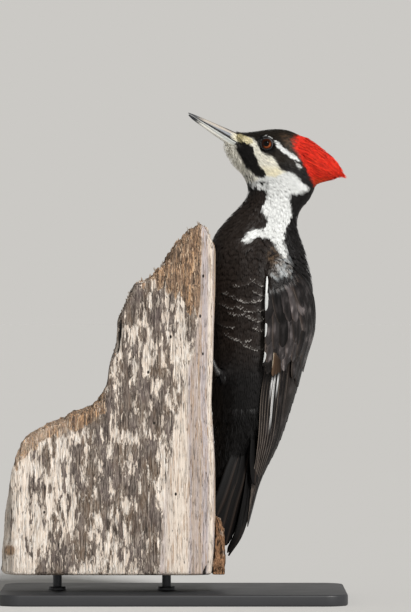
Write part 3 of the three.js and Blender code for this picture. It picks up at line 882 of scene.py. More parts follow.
def build_skin(settings):
    """One skin over all the flesh, sunk below it by the depth of the coat."""
    swell = 0.3
    nodes = FLESH + THIGHS + COVERTS + LEGS
    bm = remeshed(nodes, SKIN_FACE, swell)
    legs, wings = tree_of(copy_of(LEGS, swell)), tree_of(copy_of(COVERTS, swell))
    relax(bm, [v for v in bm.verts if legs.find_nearest(v.co)[3] > NEAR_LEG * MM], 22)
    relax(bm, bm.verts)
    bm.normal_update()
    tree = tree_of(bm)
    thick = np.array([
        (tree.ray_cast(v.co - v.normal * 1e-4, -v.normal)[3] or 1.0) / MM for v in bm.verts
    ])
    normals = np.array([v.normal for v in bm.verts])
    points = np.array([v.co for v in bm.verts]) / MM
    leg, wing = (
        np.array([tree.find_nearest(v.co)[3] < near * MM for v in bm.verts], float)
        for tree, near in ((legs, NEAR_LEG), (wings, NEAR_WING))
    )
    depth = np.where(wing > 0, COVERT_DEPTH, coat_depth(points))
    depth = np.minimum(depth, 0.3 * thick) * (1 - leg)
    points -= normals * (depth + np.minimum(swell, 0.2 * thick))[:, None]
    for v, p in zip(bm.verts, points):
        v.co = p * MM
    layers = [bm.verts.layers.float.new(name) for name in ("depth", "leg", "wing")]
    for v, *values in zip(bm.verts, depth, leg, wing):
        for layer, value in zip(layers, values):
            v[layer] = value
    relax(bm, [v for v in bm.verts if v[layers[1]] < 0.5], 4)
    refine_round_eyes(bm)
    mesh = mesh_of(bm)
    points = vertex_data(mesh)
    cut = ease(-1.0, 1.0, before_feathers(points))
    points[:, 1] -= cut * np.sign(points[:, 1]) * np.maximum(np.abs(points[:, 1]) - 1.5, 0)
    bare, pale = shape_lids(points, settings.head)
    place_vertices(mesh, points)
    colour = plumage_at(points, settings.plumage)
    # Painted shade: the skin under the coat is painted at 0.7 of the plumage's colour, for the
    # shade between the tufts.
    colour[:, :3] *= 0.7
    lids = linear(settings.plumage.bare) * (1 + 24 * pale[bare, None])
    colour[bare] = np.hstack([lids, np.full((len(lids), 1), 0.45)])
    give_colour(mesh, "plumage", colour)
    piece("skin", mesh, skin_material(), "plumage", nodes)


def skin_material():
    """Bare skin: dark and creased round the eye; scaled on the legs, which are painted nearly
    black, darker than their real grey, as painted shade.
    """
    paint = Paint("skin", shown=(0.03, 0.03, 0.03), Roughness=0.6)
    leg = paint.attribute("leg", "Fac")
    place = paint.place()
    fine = paint.noise(place, 1.1, 4)
    scales = paint.node("TexVoronoi", {}, {"Vector": paint.place((1, 1, 0.8)), "Scale": 0.85})
    rings = paint.node(
        "TexWave", {"bands_direction": "Z"},
        {"Vector": place, "Scale": 0.22, "Distortion": 1.6, "Detail": 2.0}, "Fac",
    )
    # Painted shade: the legs are painted nearly black, darker than their real grey, for the shade
    # they stand in.
    shade = paint.mix(fine, (0.014, 0.014, 0.015), (0.055, 0.053, 0.05))
    shade = paint.mix(scales.between(0.25, 0.6) * 0.5, shade, (0.008, 0.008, 0.008))
    plumage = paint.mix(fine * 0.5, paint.attribute("plumage"), (0.02, 0.018, 0.017))
    height = fine * 0.3 + (1 - scales.between(0.2, 0.7)) * leg + rings * 0.5 * leg
    return paint.finish(
        Base_Color=paint.mix(leg, plumage, shade),
        Roughness=0.75 - leg * 0.25,
        Normal=paint.bump(height, 0.5, 0.35),
    )


# ---- tufts and feathers --------------------------------------------------------------------

# Lengths of the coat's tufts at places of the side view.
LENGTHS = [
    (56, 414, 2.6), (70, 410, 3.2), (80, 399, 3.4), (85, 419, 4.2), (100, 415, 5.5),
    (108, 396, 6.0), (92, 388, 5.2), (70, 392, 3.8), (46, 408, 3.4), (52, 396, 3.6),
    (60, 386, 3.8), (75, 378, 5.5), (90, 372, 6.5), (95, 350, 9), (60, 335, 9.5), (116, 335, 10),
    (45, 290, 11), (45, 230, 12), (118, 280, 13), (85, 300, 9), (98, 296, 8), (60, 170, 14),
    (48, 120, 18), (100, 200, 14), (135, 400, 16), (118, 412, 12), (122, 382, 12),
    (146, 388, 11), (151, 384, 8),
]

# The thin pale bars of the flank, as lines of the side view.
FLANK_BARS = [
    [(57.3, 279.9), (65.4, 281.7), (71.7, 285.3)], [(74.4, 283.5), (78.9, 280.8), (83.4, 280.8)],
    [(47.4, 274.5), (51.9, 271.8), (57.3, 271.8)], [(73.5, 275.4), (78, 272.7), (83.4, 272.7)],
    [(57.3, 269.1), (64.5, 266.4), (71.7, 266.4), (78, 268.2)],
    [(44.7, 264.6), (50.1, 261.9), (54.6, 261)],
    [(59.1, 261.9), (66.3, 258.3), (74.4, 258.3), (81.6, 260.1)],
    [(51.9, 256.5), (57.3, 254.7), (62.7, 255.6)],
    [(66.3, 253.8), (71.7, 251.1), (76.2, 249.3), (81.6, 252)],
    [(42, 247.5), (48.3, 244.8), (54.6, 243.9)], [(73.5, 243), (77.1, 241.2), (80.7, 242.1)],
    [(49.2, 237.6), (54.6, 234), (62.7, 231.3), (68.1, 232.2)],
    [(63.6, 228.6), (69, 225.9), (74.4, 224.1), (78.9, 225)],
]


class Kind:
    """A kind of tuft: its strips, its rows, its shape, and how unlike its neighbours it is."""

    def __init__(self, strips, rows, width, split, fan=0.2, camber=0.5, lift=1.0, sway=0.12,
                 uneven=1.0):
        self.strips, self.rows, self.width = strips, rows, width
        self.split, self.fan, self.camber = split, fan, camber
        self.lift, self.sway, self.uneven = lift, sway, uneven


FACE = Kind(strips=3, rows=3, width=0.34, split=0.35, uneven=0.8)
CHIN = Kind(strips=3, rows=4, width=0.28, split=0.25, fan=0.9, lift=2.2, sway=0.4, uneven=1.1)
NECK = Kind(strips=4, rows=4, width=0.40, split=0.40, uneven=0.5)
BODY = Kind(strips=4, rows=4, width=0.46, split=0.50, fan=0.10, sway=0.07, uneven=0.25)
LOOSE = Kind(strips=5, rows=4, width=0.42, split=0.30, fan=0.6, lift=1.6, sway=0.35)
CREST = Kind(strips=3, rows=5, width=0.10, split=0.35, fan=0.8, lift=1.2, sway=0.10, uneven=1.7)
FLANK = Kind(strips=5, rows=10, width=0.55, split=0.84, fan=0.0, sway=0.05, uneven=0.3)
SCALE = Kind(strips=7, rows=6, width=0.66, split=0.86, fan=0.0, camber=1.0, uneven=0.7)


def courses(surface, roots, triangles, lengths, kind, rng):
    """Points down each tuft's middle, following the lie of the coat, and their normals."""
    steps = 4
    normals = surface.normals[triangles]
    way = lie_at(roots, normals)
    turn = rng.normal(0, kind.sway, len(roots))[:, None]
    way = way * np.cos(turn) + np.cross(normals, way) * np.sin(turn)
    points, ups = [roots], [normals]
    for _ in range(steps):
        ahead = points[-1] + way * (lengths / steps)[:, None]
        near, found = surface.nearest(ahead)
        up = surface.normals[found]
        free = (up * ups[-1]).sum(1, keepdims=True) < 0.6
        ups.append(np.where(free, ups[-1], up))
        points.append(np.where(free, ahead, near))
        lie = lie_at(near, ups[-1])
        onward = way - (way * ups[-1]).sum(1, keepdims=True) * ups[-1]
        way = unit(0.65 * unit(onward) + 0.35 * lie)
    return np.stack(points, 1), np.stack(ups, 1)


def along(values, v):
    """Values given evenly down each tuft, at shares v of its length."""
    steps = values.shape[1] - 1
    place = np.clip(v, 0, 1) * steps
    i = np.minimum(place.astype(int), steps - 1)
    f = (place - i)[..., None]
    n = np.arange(len(values)).reshape((-1,) + (1,) * (v.ndim - 1))
    return values[n, i] * (1 - f) + values[n, i + 1] * f


def tufts(name, points, ups, lengths, heights, colours, kind, rng, pale=None):
    """A mesh of tufts, each a fan of strips that narrow to points, with its colours and maps.

    pale says how pale the very tips of each tuft are.
    """
    count, strips, rows = len(points), kind.strips, kind.rows
    centre = (2 * np.arange(strips) + 1) / strips - 1
    reach = 1 - 0.24 * np.abs(centre) ** 1.5 + rng.uniform(-0.09, 0.06, (count, strips))
    v = reach[..., None] * np.arange(rows + 1) / rows
    middle, up = along(points, v), unit(along(ups, v))
    ahead = unit(along(np.gradient(points, axis=1), v))
    across = unit(np.cross(up, ahead))
    half = (lengths * kind.width / 2)[:, None, None]
    body = 0.4 + 0.6 * np.sin(np.minimum(v / 0.6, 1) * math.pi / 2)
    taper = np.clip((1 - v / reach[..., None]) / (1 - kind.split), 0, 1) ** 0.8
    aside = half * centre[:, None] * body * (1 + kind.fan * np.maximum(v - kind.split, 0))
    width = half / strips * 1.25 * body * taper
    rise = 1 - (1 - np.clip(v, 0, 1)) ** 2
    loose = kind.uneven * rng.normal(size=(count, strips, 1))
    height = heights[:, None, None] * (rise * kind.lift + 0.08 * loose * v)
    height = height - 0.15 - kind.camber * 0.25 * aside**2 / np.maximum(half, 0.1)
    tilt = rng.normal(0, 0.25 * kind.uneven, (count, strips, 1))
    edges = []
    for sign in (-1, 1):
        sideways = (aside + sign * width)[..., None]
        edges.append(middle + across * sideways + up * (height + sign * tilt * width)[..., None])
    pairs = np.stack(edges, 3)[:, :, :rows].reshape(count, strips, 2 * rows, 3)
    shape = np.concatenate([pairs, edges[0][:, :, rows:]], 2)
    per = 2 * rows + 1
    k = np.arange(rows - 1)[:, None] * 2
    quads = k + np.array([1, 0, 2, 3])
    ends = np.array([[2 * rows - 1, 2 * rows - 2, 2 * rows]])
    base = (np.arange(count * strips) * per)[:, None, None]
    mesh = mesh_from_arrays(
        name, shape.reshape(-1, 3), (base + quads).reshape(-1, 4), (base + ends).reshape(-1, 3),
    )
    down = np.repeat(v[..., :rows], 2, axis=2)
    down = np.concatenate([down, v[..., rows:]], 2)
    # Painted shade: each tuft, and each splinter made with it, is painted darker towards its root,
    # pale tufts less so.
    light = 0.12 * ease(0.1, 0.5, colours[:, :3].mean(1))[:, None, None]
    stray = 1 + 0.08 * kind.uneven * rng.normal(size=(count, strips, 1))
    shade = (0.74 + light + (0.32 - light) * down) * stray
    colour = colours[:, None, None, :] * np.ones((count, strips, per, 4))
    colour[..., :3] *= shade[..., None]
    if pale is not None:
        fringe = pale[:, None] * rng.uniform(0.1, 1.3, (count, strips))
        blend(colour[:, :, -3:], PALE_TIP, fringe[..., None])
    give_colour(mesh, "plumage", colour.reshape(-1, 4))
    lateral = np.tile([0.0, 1.0], rows).tolist() + [0.5]
    lateral = (np.arange(strips)[:, None] + np.array(lateral)) / strips
    lateral = np.broadcast_to(lateral, down.shape)
    vane = np.stack([lateral, down], -1)
    give_map(mesh, "Vane", vane.reshape(-1, 2))
    root = unwrapped(points[:, 0])[:, None, None, :]
    give_map(mesh, "OFBake", (root + PATCH * (vane - 0.5)).reshape(-1, 2))
    return mesh


def plumage_material(name, barbs, gloss=0.0, sheen=0.02, shine=0.2):
    """Feathers: the piece's own colours, with the fine lines of the barbs."""
    paint = Paint(
        name, shown=(0.02, 0.02, 0.02), Sheen_Weight=sheen, Sheen_Roughness=0.45,
        Specular_IOR_Level=shine,
    )
    lines = paint.noise(paint.on_map("Vane", (barbs, 3.0, 1.0)), 1.0, 2, 0.5)
    cloud = paint.noise(paint.place(), 0.35, 3)
    shade = (0.78 + lines * 0.44) * (0.85 + cloud * 0.3)
    colour = paint.shaded_plumage(shade)
    rough = paint.attribute("plumage", "Alpha") - gloss + (lines - 0.5) * 0.2
    return paint.finish(
        Base_Color=colour, Roughness=rough, Normal=paint.bump(lines, 0.35, 0.25),
    )


def tuft_colours(points, settings):
    """The colour of each tuft, from the points down its middle."""
    at = along(points, np.full(len(points), COLOUR_SHARE))
    return plumage_at(at, settings.plumage, COLOUR_SWAY)


def flank_feathers(surface, settings, rng, material):
    """Feathers on both flanks whose pale tips draw thin broken bars."""
    long, every, wide = 9.0, 2.2, 90
    ends = []
    for bar in FLANK_BARS:
        reach = sum(math.dist(a, b) for a, b in zip(bar, bar[1:]))
        ends += smooth_line(bar, int(reach / every) + 2).tolist()
    hits = [
        surface.tree.ray_cast(Vector((x, side * wide, z + long)), Vector((0, -side, 0)))
        for side in SIDES.values() for x, z in ends
    ]
    roots, triangles = np.array([h[0] for h in hits]), np.array([h[2] for h in hits])
    lengths = np.full(len(roots), long)
    points, ups = courses(surface, roots, triangles, lengths, FLANK, rng)
    colours = tuft_colours(points, settings)
    heights = surface.depth[triangles] * 1.06
    pale = rng.uniform(0.0, 0.7, len(roots)) * ease(40, 58, roots[:, 0])
    mesh = tufts("coat_flank", points, ups, lengths, heights, colours, FLANK, rng, pale)
    piece("coat_flank", mesh, material, "plumage")


def lay_coat(name, surface, chosen, spacing, kind, settings, rng, material):
    """Covers chosen triangles of the skin with one kind of tuft."""
    roots, triangles = surface.scatter(chosen, spacing, rng)
    lengths = spread([c[:2] for c in LENGTHS], [c[2] for c in LENGTHS], roots)
    lengths *= rng.uniform(0.85, 1.15, len(roots))
    points, ups = courses(surface, roots, triangles, lengths, kind, rng)
    colours = tuft_colours(points, settings)
    colours[:, :3] *= 1 + kind.uneven * rng.uniform(-0.16, 0.14, (len(roots), 1))
    if kind is CREST:
        # Painted highlight: some random crest tufts are painted a brighter orange red.
        painted_highlight = 0.3 * (rng.random(len(roots)) < 0.3)
        blend(colours, linear(settings.plumage.red) * (1.2, 2.4, 1.6), painted_highlight)
    depths = surface.depth[triangles]
    if kind is CHIN:
        depths = depths * (0.4 + 0.6 * ease(382, 396, roots[:, 2]))
    wisps = within(points[:, -1], MARKS["wing bend"], 2.5) * 0.55 if kind is NECK else None
    mesh = tufts(name, points, ups, lengths, depths, colours, kind, rng, wisps)
    piece(name, mesh, material, "crest" if name == "coat_crest" else "plumage")


def build_coat(settings):
    """The tufts of head, crest, neck, breast, back and undertail."""
    surface = Surface()
    rng = np.random.default_rng(settings.plumage.seed)
    centre = surface.points[surface.corners].mean(1)
    x, y, z = centre.T
    lids = (np.hypot(x - EYE[0], z - EYE[2]) < 5.7) & (np.abs(y) > 8)
    open_bill = before_feathers(centre) > -0.4
    free = (surface.leg < 0.5) & ~lids & ~open_bill & ~under_wing(centre) & (surface.depth > 0.25)
    head = z > 372 + 0.12 * (x - 60)
    crest = head & (within(centre, MARKS["crest"], 0.1) > 0.5)
    chin = head & (within(centre, MARKS["chin"], 0.1) > 0.5) & (x < 62)
    bend = (z > 285) & (x > 80) & (x < 107) & (np.abs(y) > 20)
    neck = ~head & ((z > 322 - 0.1 * (x - 60)) | bend)
    wing = (surface.wing > 0.5) & (z < 306) & ~bend
    low = z < 178
    fine = plumage_material("plumage_fine", 5.0)
    soft = plumage_material("plumage_soft", 14.0)
    red = plumage_material("plumage_crest", 7.0)
    face, body = settings.plumage.face_spacing / MM, settings.plumage.body_spacing / MM
    plan = [
        ("coat_head", free & head & ~crest & ~chin, face, FACE, fine),
        ("coat_chin", free & chin, face * 1.05, CHIN, fine),
        ("coat_crest", free & crest, face * 1.15, CREST, red),
        ("coat_neck", free & neck, face * 1.8, NECK, soft),
        ("coat_breast", free & ~head & ~neck & ~wing & ~low & (x < 84), body, BODY, soft),
        ("coat_back", free & ~head & ~neck & ~wing & ~low & (x >= 84), body * 1.1, BODY, soft),
        ("coat_undertail", free & ~wing & low, body * 1.1, LOOSE, soft),
        ("coat_coverts", free & wing, body * 2.1, SCALE, soft),
    ]
    for name, chosen, spacing, kind, material in plan:
        lay_coat(name, surface, chosen, spacing, kind, settings, rng, material)
    flank_feathers(surface, settings, rng, soft)


# ---- wings and tail ------------------------------------------------------------------------


def wing_place(z, share, aside, lift, side):
    """Points on a folded wing: share runs from the back (0) to the flank (1)."""
    back, middle, half, first, last = wing_stations(z)
    depth = back - middle
    angle = first + (last - first) * share
    radius = np.hypot(depth * np.sin(angle), half * np.cos(angle))
    angle = np.clip(angle + aside / radius, first + 0.004, last + 0.045)
    x = middle + (depth + lift) * np.cos(angle)
    y = side * (half + lift) * np.sin(angle)
    return np.stack([x, y, z], -1)


class Quill:
    """Where a wing feather starts and ends (height, share), its vanes, height and finish.

    edge is how bright its outer rim is, and white the heights between which the rim is white.
    """

    def __init__(self, root, tip, inner, outer, lift, shade="black", tone=1.0, edge=0.0,
                 white=None, point=0.5):
        self.root, self.tip, self.inner, self.outer = root, tip, inner, outer
        self.lift, self.shade, self.tone, self.edge = lift, shade, tone, edge
        self.white, self.point = white, point


# The white feathers of the wing's front edge: top, bottom and width.
WHITE_EDGE = [(291, 274, 1.3), (279, 260.5, 2.4), (251, 237, 1.3), (224, 214, 1.3)]

# The white streaks of the primaries: which feather, and between which heights.
WHITE_STREAKS = {3: (206, 180), 4: (207, 150), 5: (206, 178)}

# Heights at which the primaries end.
PRIMARY_ENDS = [122, 113, 104, 95, 85, 76, 69, 66, 82]

# Places across a feather: the inner vane, the shaft and the outer vane.
ACROSS = np.array([-1, -0.8, -0.55, -0.3, -0.07, 0, 0.07, 0.3, 0.55, 0.8, 1])


def flight_quills():
    """The long feathers of one wing, from the innermost and uppermost outwards."""
    quills = []
    for i in range(10):
        t = i / 9
        quills.append(Quill(
            root=(262 - 18 * t, 0.12 + 0.48 * t), tip=(206 - 78 * t**0.9, 0.05 + 0.06 * t),
            inner=9, outer=8.5, lift=-0.6 - 0.34 * i, tone=1.7, edge=0.75, point=0.35,
        ))
    for j, end in enumerate(PRIMARY_ENDS):
        t = j / 8
        quills.append(Quill(
            root=(243 - 16 * t, 0.62 + 0.34 * t), tip=(end, 0.16 + 0.58 * t),
            inner=9.5, outer=4.0, lift=-3.9 - 0.26 * j, tone=1.5, edge=1.0,
            white=WHITE_STREAKS.get(j), point=0.6,
        ))
    return quills


def covert_quills(rng):
    """The scapulars, the rows of coverts and the thumb of one wing."""
    quills = []

    def row(count, root, tip, inner, outer, lift, tone, start=0.0, loose=2.5):
        for i in range(count):
            t = (i + start) / (count - 1)
            up, down = (z0 + (z1 - z0) * t for z0, _, z1, _ in (root, tip))
            begin, end = (s0 + (s1 - s0) * t for _, s0, _, s1 in (root, tip))
            stray = rng.normal(0, 1, 4)
            wide = 1 + 0.14 * stray[3]
            quills.append(Quill(
                root=(up, begin), tip=(down + loose * stray[0], end + 0.03 * stray[1]),
                inner=inner * wide, outer=outer * wide, lift=lift - (0.07 * i) % 0.3,
                tone=tone * math.exp(0.8 * stray[2]), edge=0.3,
            ))

    row(4, (252, 0.20, 244, 0.46), (188, 0.07, 200, 0.34), 10, 9, -0.75, 2.6)
    row(7, (242, 0.70, 238, 0.94), (208, 0.66, 203, 0.92), 3.6, 3.0, -0.95, 2.4, loose=1.5)
    row(9, (256, 0.30, 250, 0.95), (214, 0.22, 214, 0.92), 5.6, 5.0, -0.50, 3.8)
    row(8, (274, 0.34, 266, 0.98), (235, 0.28, 229, 0.96), 5.6, 5.2, -0.20, 2.9)
    row(7, (290, 0.40, 282, 0.97), (255, 0.36, 249, 0.96), 5.2, 5.0, 0.05, 2.6)
    for i, (top, end) in enumerate([(258, 206), (270, 222), (284, 240), (297, 257)]):
        row(
            4, (top, 0.02, top - 8, 0.38), (end, 0.01, end + 10, 0.34), 6.8, 6.6,
            0.12 * i + 0.15, 2.4, start=0.3 * (i % 2), loose=3.0,
        )
    for i in range(3):
        quills.append(Quill(
            root=(225 - 2 * i, 0.87 - 0.02 * i), tip=(202 + 1.5 * i, 0.85 - 0.05 * i),
            inner=2.2, outer=1.9, lift=0.35 - 0.12 * i, shade="worn", tone=1.0 - 0.3 * i,
            point=0.7,
        ))
    for top, end, width in WHITE_EDGE:
        quills.append(Quill((top, 1.03), (end, 1.03), width, 0.5, 0.25, "white", 0.9))
    return quills


def quill_grid(rows, columns):
    """The faces of one feather, taken from a grid."""
    bm = bmesh.new()
    bmesh.ops.create_grid(bm, x_segments=columns - 1, y_segments=rows - 1, size=1)
    keys = sorted(bm.verts, key=lambda v: (round(v.co.y, 5), round(v.co.x, 5)))
    order = {v.index: k for k, v in enumerate(keys)}
    faces = np.array([[order[v.index] for v in f.verts] for f in bm.faces])
    bm.free()
    return faces


def quills_mesh(name, quills, side, rows, settings, rng):
    """A mesh of the feathers of one wing, laid on it from the lowest up."""
    faces = quill_grid(rows, len(ACROSS))
    if side > 0:
        faces = faces[:, ::-1]
    v = np.linspace(0, 1, rows)[:, None] * np.ones(len(ACROSS))
    columns = ACROSS * np.ones_like(v)
    points, colours, vanes, roots = [], [], [], []
    for quill in quills:
        wave = rng.normal(0, 1, 4)
        end = quill.point
        taper = np.sqrt(np.clip(1 - ((v - end) / (1.004 - end)).clip(0) ** 2.6, 0, 1))
        taper = taper * (0.55 + 0.45 * ease(0, 0.3, v))
        width = np.where(columns < 0, quill.inner, quill.outer)
        places = np.stack([v * 34, columns, v * 0 + wave[0] * 40], -1).reshape(-1, 3)
        worn = (noise_at(places, 5) > 0.55).reshape(v.shape) & (abs(columns) > 0.9)
        notch = 1 - 0.10 * worn
        aside = columns * width * taper * notch + 0.25 * wave[1] * np.sin(3 * v + wave[2])
        z = quill.root[0] + (quill.tip[0] - quill.root[0]) * v
        share = quill.root[1] + (quill.tip[1] - quill.root[1]) * v
        sag = -0.0105 * (columns * width) ** 2
        shaft = 0.45 * (abs(columns) < 0.03) * (1 - 0.75 * v)
        drop = ease(190, 70, z) * (-quill.lift) * 0.72
        emerge = -1.6 * ease(0.25, 0.0, v)
        lift = quill.lift + drop + sag * ease(60, 150, z) + shaft + emerge
        p = wing_place(z, share, aside, lift, side)
        points.append(p.reshape(-1, 3))
        colour = quill_colour(quill, p, columns, v, settings.plumage)
        colour[..., :3] *= rng.uniform(0.8, 1.2)
        colours.append(colour.reshape(-1, 4))
        vanes.append(np.stack([(columns + 1) / 2, v], -1).reshape(-1, 2))
        root = 0.04 + 0.9 * np.array([share.mean(), z.mean() / 320])
        roots.append(np.repeat(root[None], v.size, 0))
    every = (np.arange(len(quills)) * v.size)[:, None, None] + faces
    mesh = mesh_from_arrays(
        name, np.concatenate(points), every.reshape(-1, 4), np.zeros((0, 3), int),
    )
    give_colour(mesh, "plumage", np.concatenate(colours))
    give_map(mesh, "Vane", np.concatenate(vanes))
    if "coverts" in name:
        bake = np.concatenate(roots) + PATCH * (np.concatenate(vanes) - 0.5)
        give_map(mesh, "OFBake", bake)
    return mesh


def quill_colour(quill, p, across, v, s):
    """Colour and roughness over one wing feather, with painted sheen and painted shade on the
    black ones.
    """
    tone = linear(getattr(s, quill.shade)) * quill.tone * 0.85
    colour = np.ones(v.shape + (4,)) * (*tone, 0.46 if quill.shade == "black" else 0.75)

    def lay(shade, amount):
        blend(colour, shade, amount)

    if quill.shade == "black":
        # Painted sheen and shade: the cloud paints bright patches as sheen and dark patches as
        # shade over the black feathers.
        cloud = fractal(p.reshape(-1, 3) / (3.5, 3.5, 9), 36).reshape(v.shape)
        lay(tone * 5.0, ease(0.15, 0.9, cloud) * 0.8)
        lay(tone * 0.3, ease(0.0, -0.6, cloud) * 0.7)
        # Painted shade: darker near the root, where the row above covers it, and on the inner
        # vane, which the next feather covers.
        lay(tone * 0.3, ease(0.55, 0.2, v) * 0.8)
        lay(tone * 0.30, ease(-0.1, -0.9, across) * 0.8)
        lay(linear(s.brown) * (1 + 0.5 * quill.tone), ease(0.35, 0.9, across) * 0.5)
        lay(WORN_RIM, ease(0.84, 0.95, across) * ease(0.15, 0.4, v) * quill.edge)
    if quill.shade == "worn":
        lay(tone * 0.3, ease(0.5, -0.6, across) * 0.8)
        lay(THUMB_RIM, ease(0.55, 0.8, across) * ease(0.75, 0.5, v) * 0.8)
    if quill.white:
        top, end = quill.white
        streak = ease(top, top - 8, p[..., 2]) * ease(end, end + 18, p[..., 2])
        lay(np.full(3, 0.90), streak * ease(0.5, 0.58, across) * ease(0.95, 0.88, across))
    return colour


def build_wings(settings):
    """The feathers of both folded wings."""
    flight = plumage_material("plumage_flight", 60.0, 0.12, sheen=0.0, shine=0.16)
    cover = plumage_material("plumage_coverts", 40.0, 0.12, sheen=0.0, shine=0.16)
    for side_name, side in SIDES.items():
        rng = np.random.default_rng(settings.plumage.seed + 7)
        long = quills_mesh(f"wing_{side_name}_flight", flight_quills(), side, 34, settings, rng)
        nodes = [f"wing_{side_name}_{tract}" for tract in ("secondaries", "primaries")]
        piece(f"wing_{side_name}_flight", long, flight, "plumage", nodes)
        name = f"wing_{side_name}_coverts_feathers"
        short = quills_mesh(name, covert_quills(rng), side, 16, settings, rng)
        piece(name, short, cover, "plumage")


def tail_feather(roll, line, index, side, rng):
    """One stiff tail feather with its two faces, and the places across and down it."""
    rows, columns, width = 30, ACROSS, 8.4
    shaft = smooth_line(line, rows)
    ahead = unit(np.gradient(shaft, axis=0))
    across = unit(np.array([0.0, 1, 0]) - ahead * ahead[:, 1:2])
    turn = math.radians(roll)
    across = across * math.cos(turn) + np.cross(ahead, across) * math.sin(turn)
    up = np.cross(ahead, across)
    v = np.linspace(0, 1, rows)[:, None]
    half = width * np.sqrt(np.clip(1 - np.clip((v - 0.55) / 0.452, 0, 1) ** 1.9, 0, 1))
    half = half * (0.8 + 0.2 * ease(0, 0.3, v))
    fray = rng.normal(0, 0.5, (rows, len(columns))) * ease(0.75, 1, v) * (abs(columns) > 0.5)
    wide = columns * half + fray * 0.6
    raised = -0.045 * wide**2 * 0.6 + 0.75 * (abs(columns) < 0.03) * (1 - 0.6 * v)
    upper = shaft[:, None] + across[:, None] * wide[..., None]
    upper = upper + up[:, None] * (raised + 0.25)[..., None]
    lower = upper - up[:, None] * (0.5 + 0.5 * (abs(columns) < 0.1))[:, None]
    faces = quill_grid(rows, len(columns))
    per = rows * len(columns)
    rim = rim_of(rows, len(columns))
    walls = np.stack([rim, np.roll(rim, -1), np.roll(rim, -1) + per, rim + per], 1)
    quads = np.concatenate([faces, faces[:, ::-1] + per, walls[:, ::-1]])
    points = np.concatenate([upper.reshape(-1, 3), lower.reshape(-1, 3)])
    if side > 0:
        points[:, 1] *= -1
        quads = quads[:, ::-1]
    vane = np.stack([(columns + 1) / 2 * np.ones_like(raised), v * np.ones_like(raised)], -1)
    vane = np.tile(vane.reshape(-1, 2), (2, 1))
    mesh = mesh_from_arrays(f"tail_{index}", points, quads, np.zeros((0, 3), int))
    give_map(mesh, "Vane", vane)
    return mesh, vane[:, 0] * 2 - 1, vane[:, 1]


def rim_of(rows, columns):
    """The outer vertices of a grid, in order round it."""
    grid = np.arange(rows * columns).reshape(rows, columns)
    return np.concatenate([grid[0], grid[1:, -1], grid[-1, -2::-1], grid[-2:0:-1, 0]])


def build_tail(settings):
    """The ten stiff feathers that prop the bird."""
    rng = np.random.default_rng(settings.plumage.seed + 3)
    material = plumage_material("plumage_tail", 70.0, 0.04, sheen=0.0, shine=0.14)
    for side_name, side in SIDES.items():
        for i, (roll, line) in enumerate(TAIL + RUMP):
            mesh, across, v = tail_feather(roll, line, i, side, rng)
            # Painted shade: the tail is painted at 0.42 of the black, darker than the back, for
            # the shade it lies in.
            colour = np.ones((len(v), 4)) * (*linear(settings.plumage.black) * 0.42, 0.6)
            blend(colour, linear(settings.plumage.brown) * 1.6, ease(0.12, 0.02, np.abs(across)))
            colour[:, :3] *= (1 + 0.5 * ease(0.6, 1.0, v))[:, None]
            give_colour(mesh, "plumage", colour)
            if i < len(TAIL):
                node = f"tail_feather_{side_name}_{i + 1}"
                piece(f"tail_{side_name}_{i + 1}", mesh, material, "plumage", [node])
            else:
                piece(f"rump_{side_name}_{i + 1 - len(TAIL)}", mesh, material, "plumage")


# ---- bill, eyes and claws ------------------------------------------------------------------


def rounded(names, levels, sharp=50):
    """A smoother copy of some nodes' solids, with their sharp edges kept."""
    bm = copy_of(names)
    crease = bm.edges.layers.float.new("crease_edge")
    for edge in bm.edges:
        if edge.is_manifold and edge.calc_face_angle() > math.radians(sharp):
            edge[crease] = 0.85
    return modified(bm, "SUBSURF", levels=levels, render_levels=levels)


# Heights of the two mandibles over the cutting edge, at distances back from the tip.
HEIGHTS = {
    1: [(-2, 1), (14, 3.6), (28, 5.4), (42, 6.6), (56, 8)],
    -1: [(-2, 1.2), (14, 3.4), (28, 4.2), (42, 4.7), (56, 4.7)],
}

# How much deeper than its solid the lower mandible is.
DEEPER = [(4, 1.0), (14, 1.1), (28, 1.24), (56, 1.28)]


def build_bill(settings):
    """Both mandibles, with their grooves and the streaks of the horn."""
    for name, way in (("bill_upper", 1), ("bill_lower", -1)):
        mesh = rounded([name], 3)
        p = vertex_data(mesh)
        back, height = on_bill(p)
        share = np.clip(way * height / look_up(HEIGHTS[way], back), 0, 1)
        groove = 0.25 * np.sin(share * 9 + 0.6) * ease(0, 12, back) * ease(0.05, 0.3, share)
        p = p + vertex_data(mesh, "normal") * (groove - 0.05)[:, None]
        if way < 0:
            down = np.minimum(height, 0) * (look_up(DEEPER, back) - 1)
            p[:, 0] -= down * math.sin(BILL_SLOPE)
            p[:, 2] += down * math.cos(BILL_SLOPE)
        place_vertices(mesh, p)
        give_number(mesh, "share", share)
        give_number(mesh, "back", back)
        tone = settings.head.ivory if way < 0 else settings.head.horn
        piece(name + "_horn", mesh, bill_material(name, tone, way, settings.head), "bill", [name])


